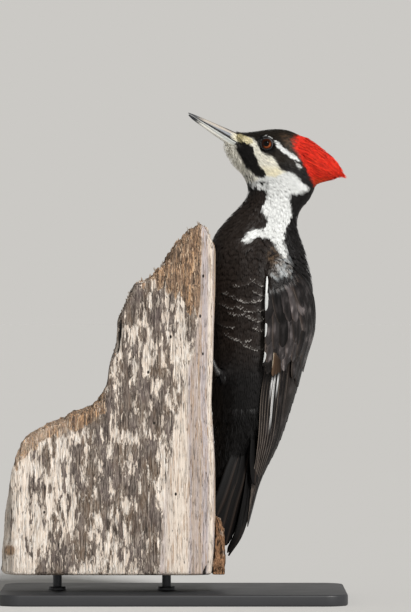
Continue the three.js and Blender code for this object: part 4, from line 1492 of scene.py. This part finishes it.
def bill_material(name, side, way, head):
    """Horn: pale sides, slate edges and tip, and streaks that run along it. The upper mandible's
    pale upper band is a painted highlight over its blue-grey, and the cutting edges are painted
    near black as painted shade of the gap between the mandibles.
    """
    paint = Paint(name, shown=(0.4, 0.4, 0.42), Specular_IOR_Level=0.5)
    share, back = paint.attribute("share", "Fac"), paint.attribute("back", "Fac")
    place = paint.place((0.07, 1.1, 1.1), (0, -BILL_SLOPE, 0))
    streak = paint.noise(place, 1.0, 5, 0.65)
    pale, slate = linear(side), linear(head.slate)
    low, high = (0.22, 0.33) if way > 0 else (0.04, 0.16)
    # Painted shade: the slate cutting edges are painted near black for the shade of the gap
    # between the mandibles.
    edge = 1 - (share + (streak - 0.5) * 0.12).between(low, high)
    ridge = (share + (streak - 0.5) * 0.1).between(0.84, 0.96)
    tip = 1 - (back + (streak - 0.5) * 14).between(5.0, 17.0)
    # Painted highlight: the upper mandible is painted blue-grey low on its side and pale horn
    # above, where light falls on it.
    blue = pale * (np.array([0.44, 0.54, 0.72]) if way > 0 else np.array([0.9, 0.95, 1.0]))
    rear = share + (36 - back) * 0.012
    dark = paint.mix(streak.between(0.35, 0.75), slate * 0.2, slate * 0.9)
    colour = paint.layers(
        paint.mix(rear.between(0.52, 0.66), blue, pale),
        ((1 - streak.between(0.3, 0.5)) * 0.3, slate * 2.5),
        (edge, slate * 0.15),
        (ridge * (0.85 if way > 0 else 0.15), dark),
        (tip, dark),
    )
    rough = 0.30 + streak * 0.22
    return paint.finish(Base_Color=colour, Roughness=rough, Normal=paint.bump(streak, 0.3, 0.3))


def build_nostril_tufts(settings):
    """The stiff pale tufts that lie forwards over the nostrils."""
    rng = np.random.default_rng(settings.plumage.seed + 11)
    bill = tree_of(copy_of(["bill_upper"]))
    count, rearmost, fall = 95, 59.5, 0.16
    kind = Kind(strips=3, rows=4, width=0.13, split=0.30, fan=0.9, sway=0.1)
    material = plumage_material("plumage_nostril", 6.0)
    cos, sin = math.cos(BILL_SLOPE), math.sin(BILL_SLOPE)
    for side_name, side in SIDES.items():
        back = rng.uniform(50, rearmost, count)
        level = rng.uniform(2.0, 8.6, count)
        height = level - fall * (rearmost - back)
        dark = level > 6.9
        lengths = rng.uniform(7.5, 11.5, count)
        points = []
        for share in np.linspace(0, 1, 5):
            s = back - lengths * share
            h = height + share * rng.normal(0.2, 0.25, count)
            x, z = BILL_TIP[0] + s * cos - h * sin, BILL_TIP[1] + s * sin + h * cos
            wide = np.stack([x, np.full(count, side * 7.0), z], 1)
            near = np.array([bill.find_nearest(Vector(q * MM))[0] for q in wide]) / MM
            points.append(np.stack([x, near[:, 1], z], 1))
        points = np.stack(points, 1)
        ups = np.broadcast_to(unit(np.array([0.2, 1.6 * side, 0.6])), points.shape)
        colours = np.full((count, 4), 0.7)
        share = ease(43, 55, back - lengths * 0.5)[:, None]
        cream, yellow = linear(settings.plumage.cream), linear(settings.plumage.yellow)
        colours[:, :3] = (cream + (yellow - cream) * share) * rng.uniform(0.9, 1.06, (count, 1))
        colours[dark, :3] = linear(settings.plumage.crown)
        heights = 0.5 + 0.9 * ease(0, 1, (height - 2) / 6) + rng.uniform(0, 0.4, count)
        name = f"nostril_tufts_{side_name}"
        mesh = tufts(name, points, ups, lengths, heights, colours, kind, rng)
        piece(name, mesh, material, "plumage")


def build_eyes(settings):
    """Both eyeballs, each with its bulging clear front, iris and pupil."""
    head = settings.head
    for side_name, side in SIDES.items():
        bm = bmesh.new()
        bmesh.ops.create_uvsphere(bm, u_segments=64, v_segments=48, radius=head.eye)
        turn = Matrix.Rotation(-side * math.pi / 2, 4, "X")
        bmesh.ops.transform(bm, matrix=turn, verts=bm.verts)
        mesh = mesh_of(bm)
        p = vertex_data(mesh)
        r = np.hypot(p[:, 0], p[:, 2])
        front = p[:, 1] * side > 0
        p[:, 1] += side * 0.45 * ease(4.6, 1.0, r) * front
        spokes = np.stack([p[:, 0], p[:, 2]], 1) / np.maximum(r, 0.2)[:, None] * 9
        spokes = np.hstack([spokes, r[:, None] * 0.35])
        give_number(mesh, "spokes", spokes, "FLOAT_VECTOR", "vector")
        give_number(mesh, "ring", np.where(front, r, 9))
        # Painted light and shade: 'lit' is low at the top of the iris and high at its lower side,
        # so the iris is painted dark above and bright below.
        give_number(mesh, "lit", ease(-0.4, 3.2, 0.5 * p[:, 0] - 0.87 * p[:, 2]))
        place_vertices(mesh, p + np.array([EYE[0], side * EYE[1], EYE[2]]))
        piece(f"eyeball_{side_name}", mesh, eye_material(head), "eye", [f"eye_{side_name}"])


def eye_material(head):
    """A dark pupil in a brown iris with fine spokes, all under a wet clear coat."""
    paint = Paint(
        "eye", shown=(0.05, 0.03, 0.02), Roughness=0.5, Coat_Weight=0.22, Coat_Roughness=0.02,
        Specular_IOR_Level=0.0,
    )
    ring = paint.attribute("ring", "Fac")
    spokes = paint.noise(paint.attribute("spokes", "Vector"), 1.0, 3, 0.6)
    cloud = paint.noise(paint.place(), 0.22, 2)
    tone = linear(head.iris_colour)
    iris = paint.mix(spokes.between(0.3, 0.7), tone * 0.7, tone * 1.9)
    iris = paint.mix(cloud.between(0.35, 0.6) * 0.3, iris, tone * 0.35)
    # Painted light and shade: the iris is painted near black where 'lit' is low, at the top, and
    # keeps its bright colour at its lower side.
    iris = paint.mix(paint.attribute("lit", "Fac"), tone * 0.05, iris)
    outer = ring.between(head.iris / MM - 1.0, head.iris / MM)
    iris = paint.mix(outer * 0.85, iris, tone * 0.15)
    pupil = (ring + (spokes - 0.5) * 0.15).between(head.pupil / MM - 0.1, head.pupil / MM + 0.2)
    colour = paint.mix(pupil, (0.002, 0.002, 0.002), iris)
    rim = ring.between(head.iris / MM - 0.15, head.iris / MM + 0.15)
    return paint.finish(Base_Color=paint.mix(rim, colour, (0.008, 0.007, 0.007)))


def build_claws(settings):
    """The hooked claws, rounder than their solids, with streaks along them."""
    for side_name in SIDES:
        names = [f"claw_{side_name}_{toe}" for toe in ("hind", "inner", "middle", "outer")]
        mesh = rounded(names, 2, 80)
        paint = Paint("claw_" + side_name, shown=(0.05, 0.05, 0.05), Specular_IOR_Level=0.5)
        streak = paint.noise(paint.place((1, 1, 0.2)), 2.2, 4, 0.6)
        tone = linear(settings.head.claw)
        material = paint.finish(
            Base_Color=paint.mix(streak, tone * 0.6, tone * 2.2),
            Roughness=0.3 + streak * 0.2, Normal=paint.bump(streak, 0.3, 0.2),
        )
        piece(f"claws_{side_name}", mesh, material, "claw", names)


# ---- perch and stand -----------------------------------------------------------------------

# Where the snag keeps its dark old surface: middle, half width and half height, and how much.
OLD_SURFACE = [
    (-30, 264, 24, 20, 0.66), (4, 266, 12, 24, 0.50), (-26, 232, 34, 13, 0.42),
    (-14, 208, 22, 14, 0.46), (-36, 184, 28, 24, 0.66), (-26, 152, 34, 22, 0.80),
    (-66, 132, 26, 24, 0.62), (-32, 90, 24, 32, 0.60), (-82, 62, 22, 26, 0.56),
    (-18, 62, 9, 42, 0.78), (-110, 27, 11, 14, 0.95), (-119, 108, 6, 18, 0.72),
    (-128, 84, 14, 60, 0.12), (-101, 100, 11, 44, 0.22), (-50, 36, 22, 12, 0.30),
    (6, 205, 9, 40, 0.14), (0, 150, 8, 40, 0.26), (-6, 110, 6, 40, 0.2),
]

# Where the smooth ridge begins: height, and x.
RIDGE = [
    (340, 25.5), (270, 24), (225, 19.5), (207, 11), (162, 4.2), (117, -3), (72, -9), (30, -12),
]

# How pale the smooth ridge is across: x, and 0 for tan, 0.5 for lilac grey, 1 for cream.
RIDGE_BANDS = [
    (-12, 0.5), (-4, 0.9), (4, 0.95), (10, 1.0), (14, 0.8), (17, 0.15), (21, 0.35), (24, 0.1),
    (26, 0.5), (30, 0.5), (32, 0.95), (35.4, 0.9), (36.8, 0.0), (39, 0.0),
]

# The top edge of the broken shoulder, and the lower edge of the torn fibre by the ridge.
SHOULDER = [(-138, 130), (-132, 141), (-111, 156), (-90, 164), (-70, 171), (-58, 182)]
TORN = [(-40, 300), (-30, 284), (0, 276), (12, 266), (25, 250)]

# Grooves in the side view: half width, how dark their painted shade is, and the line.
CRACKS = [
    (1.3, 1.0, [(31, 36), (27, 25), (20, 13), (8, 4), (-12, -11)]),
    (1.5, 1.0, [(-47, 252), (-48.5, 238), (-50, 224)]),
    (1.4, 0.9, [(-101.5, 55), (-99.5, 46)]),
    (1.5, 0.45, [(-66, 190), (-63, 170), (-60, 140), (-62, 110), (-59, 84), (-58, 62)]),
]


def line_distance(p, line):
    """How far points of the side view are from a line."""
    points = smooth_line(line, 60)
    return np.sqrt(((p[:, None, [0, 2]] - points) ** 2).sum(-1)).min(1)


def wood_marks(p):
    """Old dark surface, smooth ridge, torn fibre, and grooves with how dark their painted shade
    is, at points of the snag.
    """
    x, y, z = p.T
    reach = [((x - a) / c) ** 2 + ((z - b) / d) ** 2 for a, b, c, d, _ in OLD_SURFACE]
    weight = np.exp(-0.8 * np.array(reach)) + 1e-9
    share = np.array([s for *_, s in OLD_SURFACE]) @ weight / weight.sum(0)
    old = 0.5 + 0.36 * (share - 0.5) + 0.16 * noise_at(p / (4.2, 4.2, 15), 41)
    sway = 2.0 * noise_at(np.stack([y / 9, z / 30, x * 0], 1), 44)
    ridge = ease(-1.6, 1.6, x - look_up(RIDGE[::-1], z) + sway * ease(280, 200, z))
    torn = z - look_up(TORN, x) + 10 * noise_at(p / (2.6, 2.6, 12), 45)
    under = look_up(SHOULDER, x) - z
    crust = ease(13, 8, under + 5 * noise_at(p / (3, 3, 6), 46)) * ease(-54, -62, x)
    knot = np.exp(-((x + 144) ** 2 + (z - 48) ** 2) / 30)
    brown = np.clip(ease(-6, 8, torn) * (1 - ridge) + crust * 0.62 + knot, 0, 1)
    # Painted shade: the grooves' mask also paints them dark, as much as each groove lists.
    crack_and_shade = np.zeros(len(p))
    wander = 0.9 * noise_at(np.stack([z / 9, x * 0, y * 0], 1), 47)
    for half, dark, line in CRACKS:
        depth = ease(half + 0.9, half * 0.3, line_distance(p, line) + wander)
        crack_and_shade = np.maximum(crack_and_shade, dark * depth)
    crack_and_shade *= ease(-52, -60, y + 5 * noise_at(np.stack([x * 0, y * 0, z / 4], 1), 48))
    return np.stack([old, ridge, brown, crack_and_shade], 1)


def build_perch(settings):
    """The snag: weathered grain, flaking old surface, a smooth ridge and a broken top."""
    perch = settings.perch
    mesh, p, normals = worn_block("perch", SNAG_FACE, 6)
    marks = wood_marks(p)
    grain = noise_at(p / (1.9, 1.9, 26), 51) + 0.6 * noise_at(p / (3.6, 3.6, 44), 52)
    wave = noise_at(p / (16, 16, 60), 53) * 1.5
    flaked = ease(0.47, 0.53, marks[:, 0])
    crumbs = fractal(p / (2.2, 2.2, 5), 54) * marks[:, 2]
    move = perch.grain / MM * grain * (1 - 0.6 * marks[:, 1]) + wave
    move += 0.8 * flaked * (1 - marks[:, 1])
    ribs = noise_at(p / (2.3, 2.3, 24), 56) + 0.5 * noise_at(p / (2, 2, 9), 57)
    move += crumbs + 1.5 * ribs * marks[:, 2] - 2.4 * marks[:, 3]
    free = ease(FREE_OF_BASE, 30, p[:, 2])
    hollow = ease(40, 32, p[:, 0]) * ease(18, 22, p[:, 0]) * (p[:, 1] > -46) * (p[:, 1] < 45)
    move = np.where(hollow > 0.5, np.minimum(move, 0.1), move)
    place_vertices(mesh, p + normals * (move * free)[:, None])
    give_colour(mesh, "wood", marks)
    sway = noise_at(np.stack([p[:, 1] / 8, p[:, 2] / 50, 0 * p[:, 0]], 1), 49)
    give_number(mesh, "band", look_up(RIDGE_BANDS, p[:, 0] + sway))
    piece("snag", mesh, wood_material(perch), "snag_wood", ["perch"])
    for name, base in (("perch_bark_front", 71), ("perch_bark_rear", 81)):
        build_bark(name, base, perch)
    build_splinters(perch)


def wood_material(perch):
    """Weathered wood: pale where it is bare, with dark blotches and torn fibre, and with
    near-black painted shade in its cracks and small holes.
    """
    paint = Paint("snag_wood", shown=(0.4, 0.36, 0.32), Roughness=0.85, Specular_IOR_Level=0.25)
    marks = paint.attribute("wood")
    old, ridge, brown = (paint.part_of(marks, k) for k in range(3))
    crack_and_shade = paint.attribute("wood", "Alpha")
    band = paint.attribute("band", "Fac")
    chip = paint.grain((0.34, 0.34, 0.085), 4, 0.62, 0.35)
    streak = paint.grain((0.75, 0.75, 0.035), 5, 0.68)
    fibre = paint.grain((1.7, 1.7, 0.12), 4, 0.65)
    tint = paint.grain((0.06, 0.06, 0.03), 2)
    pale, silver = linear(perch.pale), linear(perch.silver)
    dark, umber = linear(perch.dark), linear(perch.umber)

    def split(scale, wide):
        """Hairline splits along the grain: 1 on a line."""
        line = paint.grain((scale, scale, 0.022), 2, 0.5)
        return 1 - (line - 0.5).maths("ABSOLUTE").between(wide * 0.3, wide)

    lines = split(0.55, 0.016) * tint.between(0.42, 0.52)
    lines = lines + split(0.9, 0.012) * (1 - tint).between(0.45, 0.55)
    spots = {"Vector": paint.place((0.065, 0.065, 0.045)), "Scale": 1.0}
    shaded_holes = paint.node("TexVoronoi", {}, spots)
    patch = old + (chip - 0.5) * 0.95 + (fibre - 0.5) * 0.5
    stain = (patch - 0.02).between(0.40, 0.50) * (1 - tint.between(0.40, 0.60)) * 0.55
    bare = paint.layers(
        paint.mix(streak.between(0.34, 0.60), pale * 0.62, pale * (1.02, 1.0, 0.98)),
        (fibre.between(0.44, 0.62), (0.93, 0.88, 0.82)),
        ((1 - streak.between(0.30, 0.44)) * 0.8, dark * 1.1),
        (stain, dark * 1.9),
    )
    tan, lilac = silver * (0.62, 0.52, 0.42), silver * (0.66, 0.63, 0.68)
    smooth = paint.layers(
        paint.mix(band.between(0.0, 0.5), tan, lilac),
        (band.between(0.5, 1.0), silver * (1.08, 1.03, 0.96)),
        ((1 - streak.between(0.38, 0.50)) * 0.85, umber * (1.3, 1.35, 1.4)),
        (fibre.between(0.54, 0.70) * 0.6, (0.90, 0.86, 0.84)),
    )
    spot = patch.between(0.48, 0.515) * (1 - ridge * 0.95)
    cold, warm = dark * (0.92, 0.94, 1.06), dark * (1.10, 1.00, 0.84)
    shade = paint.layers(
        paint.mix(tint.between(0.36, 0.64), cold, warm),
        ((1 - chip.between(0.40, 0.60)) * 0.4, dark * 0.1),
        (fibre.between(0.48, 0.60) * 0.65, pale * 0.55),
        ((1 - streak.between(0.40, 0.48)) * 0.85, dark * 0.20),
    )
    strand = streak * 0.55 + fibre * 0.45
    crumb = paint.layers(
        paint.mix(strand.between(0.42, 0.52), umber * 0.12, umber * (0.95, 0.90, 0.86)),
        (strand.between(0.52, 0.60), umber * (2.3, 2.1, 1.7)),
        ((chip * 0.5 + fibre * 0.5).between(0.54, 0.60) * 0.8, pale * (0.92, 0.84, 0.72)),
    )
    colour = paint.layers(
        paint.mix(ridge, bare, smooth),
        (spot * 0.97, shade),
        ((brown + (fibre - 0.5) * 1.4).between(0.42, 0.62) * 0.92, crumb),
        (lines * (1 - brown) * 0.75, dark * 0.22),
        # Painted shade: small holes and the cracks are painted near black.
        (1 - shaded_holes.between(0.05, 0.09), PAINTED_HOLE_SHADE),
        (crack_and_shade.between(0.2, 0.9), PAINTED_HOLE_SHADE),
    )
    relief = (streak * 0.8 + chip * 0.6 + spot * 0.7) * (1 - ridge * 0.6)
    relief = relief + fibre * 0.5 - lines * 0.5
    return paint.finish(
        Base_Color=colour, Roughness=0.92 - ridge * 0.25, Normal=paint.bump(relief, 0.9, 1.2),
    )


def build_bark(name, seed, perch):
    """A bit of flaking bark at the snag's foot."""
    mesh, p, normals = worn_block(name, BARK_FACE, 4)
    plates = np.floor(3 * (0.5 + 0.5 * noise_at(p / (3.2, 4.5, 9), seed))) / 3
    ridges = fractal(p / (1.8, 1.8, 6), seed + 1)
    move = 1.5 * (plates - 0.5) + 0.7 * ridges - 0.4
    place_vertices(mesh, p + normals * (move * ease(FREE_OF_BASE, 29, p[:, 2]))[:, None])
    give_number(mesh, "plate", plates)
    paint = Paint(name, shown=(0.2, 0.13, 0.08), Roughness=0.9, Specular_IOR_Level=0.2)
    fine = paint.grain((1.4, 1.4, 0.35), 6, 0.7)
    plate = paint.attribute("plate", "Fac")
    tone = linear(perch.bark)
    cleft_shade = paint.grain((0.5, 0.5, 0.12), 5, 0.7)
    colour = paint.layers(
        paint.mix(fine.between(0.38, 0.62), tone * 0.30, tone * 1.9),
        ((plate + fine * 0.6).between(0.8, 1.1) * 0.6, linear(perch.pale) * 0.6),
        # Painted shade: the clefts between the bark's plates are painted near black.
        (1 - cleft_shade.between(0.40, 0.50), tone * 0.05),
    )
    material = paint.finish(Base_Color=colour, Normal=paint.bump(fine, 0.9, 0.9))
    piece(name + "_flakes", mesh, material, "snag_bark", [name])


def build_splinters(perch):
    """Splinters that stand along the snag's broken top."""
    rng, count, steps = np.random.default_rng(12), 520, np.linspace(-0.45, 1, 5)
    top = bpy.data.objects["snag"].data
    p, normals = vertex_data(top), vertex_data(top, "normal")
    edge = np.flatnonzero((normals[:, 2] > 0.35) & (p[:, 2] > 150))
    high = ease(150, 300, p[edge, 2]) + 0.3
    root = p[rng.choice(edge, count, p=high / high.sum())]
    lengths = rng.uniform(1.2, 4.2, count) * (0.5 + 0.5 * ease(180, 320, root[:, 2]))
    lean = unit(np.column_stack([*rng.normal(0, 0.3, (2, count)), np.ones(count)]))
    points = root[:, None] + lean[:, None] * (lengths[:, None] * steps)[..., None]
    turn = rng.uniform(0, 2 * math.pi, count)
    out = np.stack([np.cos(turn), np.sin(turn), 0 * turn], 1)
    ups = np.repeat(out[:, None], len(steps), axis=1)
    tone = rng.uniform(0.45, 1.15, (count, 1))
    brown = rng.random((count, 1)) < 0.45
    tone = tone * np.where(brown, linear(perch.umber) * 1.6, linear(perch.pale) * 0.8)
    colours = np.hstack([tone, np.full((count, 1), 0.85)])
    kind = Kind(strips=2, rows=3, width=0.5, split=0.3, fan=0.1, camber=1.2, lift=0.15)
    mesh = tufts("splinters", points, ups, lengths, np.ones(count), colours, kind, rng)
    mesh = modified(bmesh_of(mesh), "SOLIDIFY", thickness=0.35 * MM, offset=0.0)
    mesh.uv_layers.remove(mesh.uv_layers["OFBake"])
    paint = Paint("splinters", shown=(0.4, 0.35, 0.3), Roughness=0.9, Specular_IOR_Level=0.2)
    fibre = paint.grain((2.2, 2.2, 0.2), 4, 0.6)
    colour = paint.shaded_plumage(0.6 + fibre * 0.8)
    material = paint.finish(Base_Color=colour, Normal=paint.bump(fibre, 0.6, 0.4))
    piece("snag_splinters", mesh, material, "snag_wood")


def round_edges(bm, edges, radius, segments):
    """Rounds some edges of a bmesh, by a radius in millimetres."""
    bmesh.ops.bevel(
        bm, geom=edges, offset=radius * MM, offset_type="OFFSET", segments=segments,
        profile=0.5, affect="EDGES", material=-1,
    )


def build_stand(settings):
    """A rounded base plate in textured black, and two turned rods with collars."""
    low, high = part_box("stand_base")
    bm = bmesh.new()
    bmesh.ops.create_cube(bm, size=1)
    bmesh.ops.scale(bm, vec=high - low, verts=bm.verts)
    bmesh.ops.translate(bm, vec=(low + high) / 2, verts=bm.verts)
    upright = [e for e in bm.edges if abs(e.verts[0].co.z - e.verts[1].co.z) > 1e-4]
    round_edges(bm, upright, 20, 14)
    rim = [e for e in bm.edges if abs(e.verts[0].co.z - e.verts[1].co.z) < 1e-6]
    round_edges(bm, [e for e in rim if e.calc_face_angle(0) > 1], 1.6, 4)
    plate = mesh_of(bm)
    paint = Paint("stand_base", shown=(0.03, 0.03, 0.03), Specular_IOR_Level=0.5)
    fine = paint.noise(paint.place(), 1.6, 4, 0.7)
    wide = paint.noise(paint.place(), 0.03, 3, 0.5)
    tone = linear(settings.stand.steel)
    colour = paint.mix(fine, tone * 0.75, tone * 1.3)
    rough = 0.42 + wide * 0.16
    material = paint.finish(
        Base_Color=colour, Roughness=rough, Normal=paint.bump(fine, 0.35, 0.12),
    )
    piece("stand_plate", plate, material, "stand_steel", ["stand_base"])
    keep_sharp_edges(plate)
    for index in (1, 2):
        build_rod(f"stand_rod_{index}", high.z, settings)


def keep_sharp_edges(mesh):
    """Leaves a smooth mesh's sharp edges sharp."""
    mesh.set_sharp_from_angle(angle=math.radians(40))


def build_rod(name, floor, settings):
    """A turned rod with a small collar where it meets the base."""
    low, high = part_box(name)
    radius = (high.x - low.x) / 2
    middle = (low + high) / 2
    collar, top, chamfer = radius + 4 * MM, floor + 3 * MM, 0.6 * MM
    profile = [
        (0.0, low.z), (radius, low.z), (radius, floor), (collar, floor),
        (collar, top - 0.8 * MM), (collar - chamfer, top), (radius, top),
        (radius, high.z - chamfer), (radius - chamfer, high.z), (0.0, high.z),
    ]
    bm = bmesh.new()
    verts = [bm.verts.new((middle.x + r, middle.y, z)) for r, z in profile]
    edges = [bm.edges.new(pair) for pair in zip(verts, verts[1:])]
    bmesh.ops.spin(
        bm, geom=verts + edges, cent=middle, axis=(0, 0, 1), dvec=(0, 0, 0),
        angle=2 * math.pi, steps=48, use_merge=True, use_duplicate=False,
    )
    bmesh.ops.remove_doubles(bm, verts=bm.verts, dist=1e-6)
    bmesh.ops.recalc_face_normals(bm, faces=bm.faces)
    mesh = mesh_of(bm)
    paint = Paint(name, shown=(0.1, 0.1, 0.1), Metallic=0.9)
    turned = paint.grain((0.1, 0.1, 6), 3, 0.6)
    tone = linear(settings.stand.rod)
    material = paint.finish(
        Base_Color=paint.mix(turned, tone * 0.8, tone * 1.3), Roughness=0.3 + turned * 0.2,
        Normal=paint.bump(turned, 0.2, 0.05),
    )
    piece(name + "_turned", mesh, material, "stand_steel", [name])
    keep_sharp_edges(mesh)


# ---- stage ---------------------------------------------------------------------------------

# In metres: how far the floor runs each way, and the x and height that the camera looks at.
FLOOR_REACH = 60
AIM = (0.029, 0.2646)


def sun(name, way, strength, angle, colour):
    """A broad, even light that shines from a way."""
    data = bpy.data.lights.new(name, "SUN")
    data.energy, data.angle, data.color = strength, math.radians(angle), colour
    lamp = bpy.data.objects.new(name, data)
    lamp.rotation_euler = Vector(way).to_track_quat("Z", "Y").to_euler()
    bpy.context.scene.collection.objects.link(lamp)


def light_room(colour):
    """A room that is bright at eye level and dimmer overhead."""
    world = bpy.data.worlds.new("studio")
    world.use_nodes = True
    nodes, links = world.node_tree.nodes, world.node_tree.links
    place = nodes.new("ShaderNodeTexCoord")
    parts = nodes.new("ShaderNodeSeparateXYZ")
    fade = nodes.new("ShaderNodeMapRange")
    low, high, bright, dim = 0.10, 0.75, 1.0, 0.34
    for index, value in enumerate((low, high, bright, dim), start=1):
        fade.inputs[index].default_value = value
    links.new(place.outputs["Generated"], parts.inputs[0])
    links.new(parts.outputs[2], fade.inputs[0])
    ground = nodes["Background"]
    links.new(fade.outputs[0], ground.inputs["Strength"])
    ground.inputs["Color"].default_value = (*colour, 1)
    bpy.context.scene.world = world


def build_stage(settings):
    """A pale floor that runs to the horizon, soft light, and the camera."""
    scene, stage = bpy.context.scene, settings.stage
    bm = bmesh.new()
    bmesh.ops.create_grid(bm, x_segments=1, y_segments=1, size=FLOOR_REACH)
    floor = bpy.data.objects.new("floor", mesh_of(bm))
    scene.collection.objects.link(floor)
    paint = Paint("floor", shown=(0.8, 0.8, 0.8), Roughness=0.9, Specular_IOR_Level=0.0)
    cloud = paint.noise(paint.place(), 0.004, 2, 0.5)
    tone = linear(stage.floor) * (1.014, 1.032, 1.063)
    floor.data.materials.append(paint.finish(Base_Color=paint.mix(cloud, tone * 0.99, tone)))
    light_room(linear(stage.floor))
    sun("key", way=(1.5, -2.4, 2.3), strength=3.5, angle=12, colour=(1.0, 0.985, 0.96))
    data = bpy.data.cameras.new("camera")
    data.lens, data.sensor_width, data.sensor_fit = stage.lens, 36, "AUTO"
    data.clip_start, data.clip_end = 0.1, 200
    camera = bpy.data.objects.new("camera", data)
    camera.location = (AIM[0], -stage.distance, AIM[1])
    camera.rotation_euler = (math.pi / 2, 0, 0)
    scene.collection.objects.link(camera)
    scene.camera = camera
    scene.view_settings.view_transform = "Standard"


# ---- operators and panel -------------------------------------------------------------------


class WOODPECKER_OT_skin(bpy.types.Operator):
    """One skin over head, neck, trunk, wings' flesh, thighs and feet"""

    bl_idname = "woodpecker.skin"
    bl_label = "Skin and lids"

    def execute(self, context):
        build_skin(context.scene.woodpecker)
        return {"FINISHED"}


class WOODPECKER_OT_coat(bpy.types.Operator):
    """The tufts of the head, crest, neck and body"""

    bl_idname = "woodpecker.coat"
    bl_label = "Coat"

    def execute(self, context):
        build_coat(context.scene.woodpecker)
        return {"FINISHED"}


class WOODPECKER_OT_wings(bpy.types.Operator):
    """The flight feathers, coverts and scapulars of both folded wings"""

    bl_idname = "woodpecker.wings"
    bl_label = "Wings"

    def execute(self, context):
        build_wings(context.scene.woodpecker)
        return {"FINISHED"}


class WOODPECKER_OT_tail(bpy.types.Operator):
    """The ten stiff tail feathers"""

    bl_idname = "woodpecker.tail"
    bl_label = "Tail"

    def execute(self, context):
        build_tail(context.scene.woodpecker)
        return {"FINISHED"}


class WOODPECKER_OT_bill(bpy.types.Operator):
    """The upper and lower mandible, and the tufts over the nostrils"""

    bl_idname = "woodpecker.bill"
    bl_label = "Bill"

    def execute(self, context):
        build_bill(context.scene.woodpecker)
        build_nostril_tufts(context.scene.woodpecker)
        return {"FINISHED"}


class WOODPECKER_OT_eyes(bpy.types.Operator):
    """Both eyeballs"""

    bl_idname = "woodpecker.eyes"
    bl_label = "Eyes"

    def execute(self, context):
        build_eyes(context.scene.woodpecker)
        return {"FINISHED"}


class WOODPECKER_OT_claws(bpy.types.Operator):
    """The claws of both feet"""

    bl_idname = "woodpecker.claws"
    bl_label = "Claws"

    def execute(self, context):
        build_claws(context.scene.woodpecker)
        return {"FINISHED"}


class WOODPECKER_OT_perch(bpy.types.Operator):
    """The snag, its bark and its splinters"""

    bl_idname = "woodpecker.perch"
    bl_label = "Perch"

    def execute(self, context):
        build_perch(context.scene.woodpecker)
        return {"FINISHED"}


class WOODPECKER_OT_stand(bpy.types.Operator):
    """The base plate and the two rods"""

    bl_idname = "woodpecker.stand"
    bl_label = "Stand"

    def execute(self, context):
        build_stand(context.scene.woodpecker)
        return {"FINISHED"}


class WOODPECKER_OT_stage(bpy.types.Operator):
    """The floor, the lamps and the camera"""

    bl_idname = "woodpecker.stage"
    bl_label = "Stage"

    def execute(self, context):
        build_stage(context.scene.woodpecker)
        return {"FINISHED"}


OPERATORS = (
    WOODPECKER_OT_stage, WOODPECKER_OT_skin, WOODPECKER_OT_coat, WOODPECKER_OT_wings,
    WOODPECKER_OT_tail, WOODPECKER_OT_bill, WOODPECKER_OT_eyes, WOODPECKER_OT_claws,
    WOODPECKER_OT_perch, WOODPECKER_OT_stand,
)


class WOODPECKER_PT_panel(bpy.types.Panel):
    """Lists the pieces and their settings"""

    bl_idname = "WOODPECKER_PT_panel"
    bl_label = "Woodpecker"
    bl_space_type = "VIEW_3D"
    bl_region_type = "UI"
    bl_category = "Woodpecker"

    def draw(self, context):
        for operator in OPERATORS:
            self.layout.operator(operator.bl_idname)
        settings = context.scene.woodpecker
        for name in settings.__annotations__:
            group = getattr(settings, name)
            box = self.layout.box()
            for key in group.__annotations__:
                box.prop(group, key)


CLASSES = (
    PlumageSettings, HeadSettings, PerchSettings, StandSettings, StageSettings,
    WoodpeckerSettings, *OPERATORS, WOODPECKER_PT_panel,
)


def register():
    for cls in CLASSES:
        bpy.utils.register_class(cls)
    bpy.types.Scene.woodpecker = bpy.props.PointerProperty(type=WoodpeckerSettings)


def unregister():
    del bpy.types.Scene.woodpecker
    for cls in reversed(CLASSES):
        bpy.utils.unregister_class(cls)


def main():
    """Builds every piece."""
    register()
    for operator in OPERATORS:
        _, name = operator.bl_idname.split(".")
        getattr(bpy.ops.woodpecker, name)()


if __name__ == "__main__":
    main()
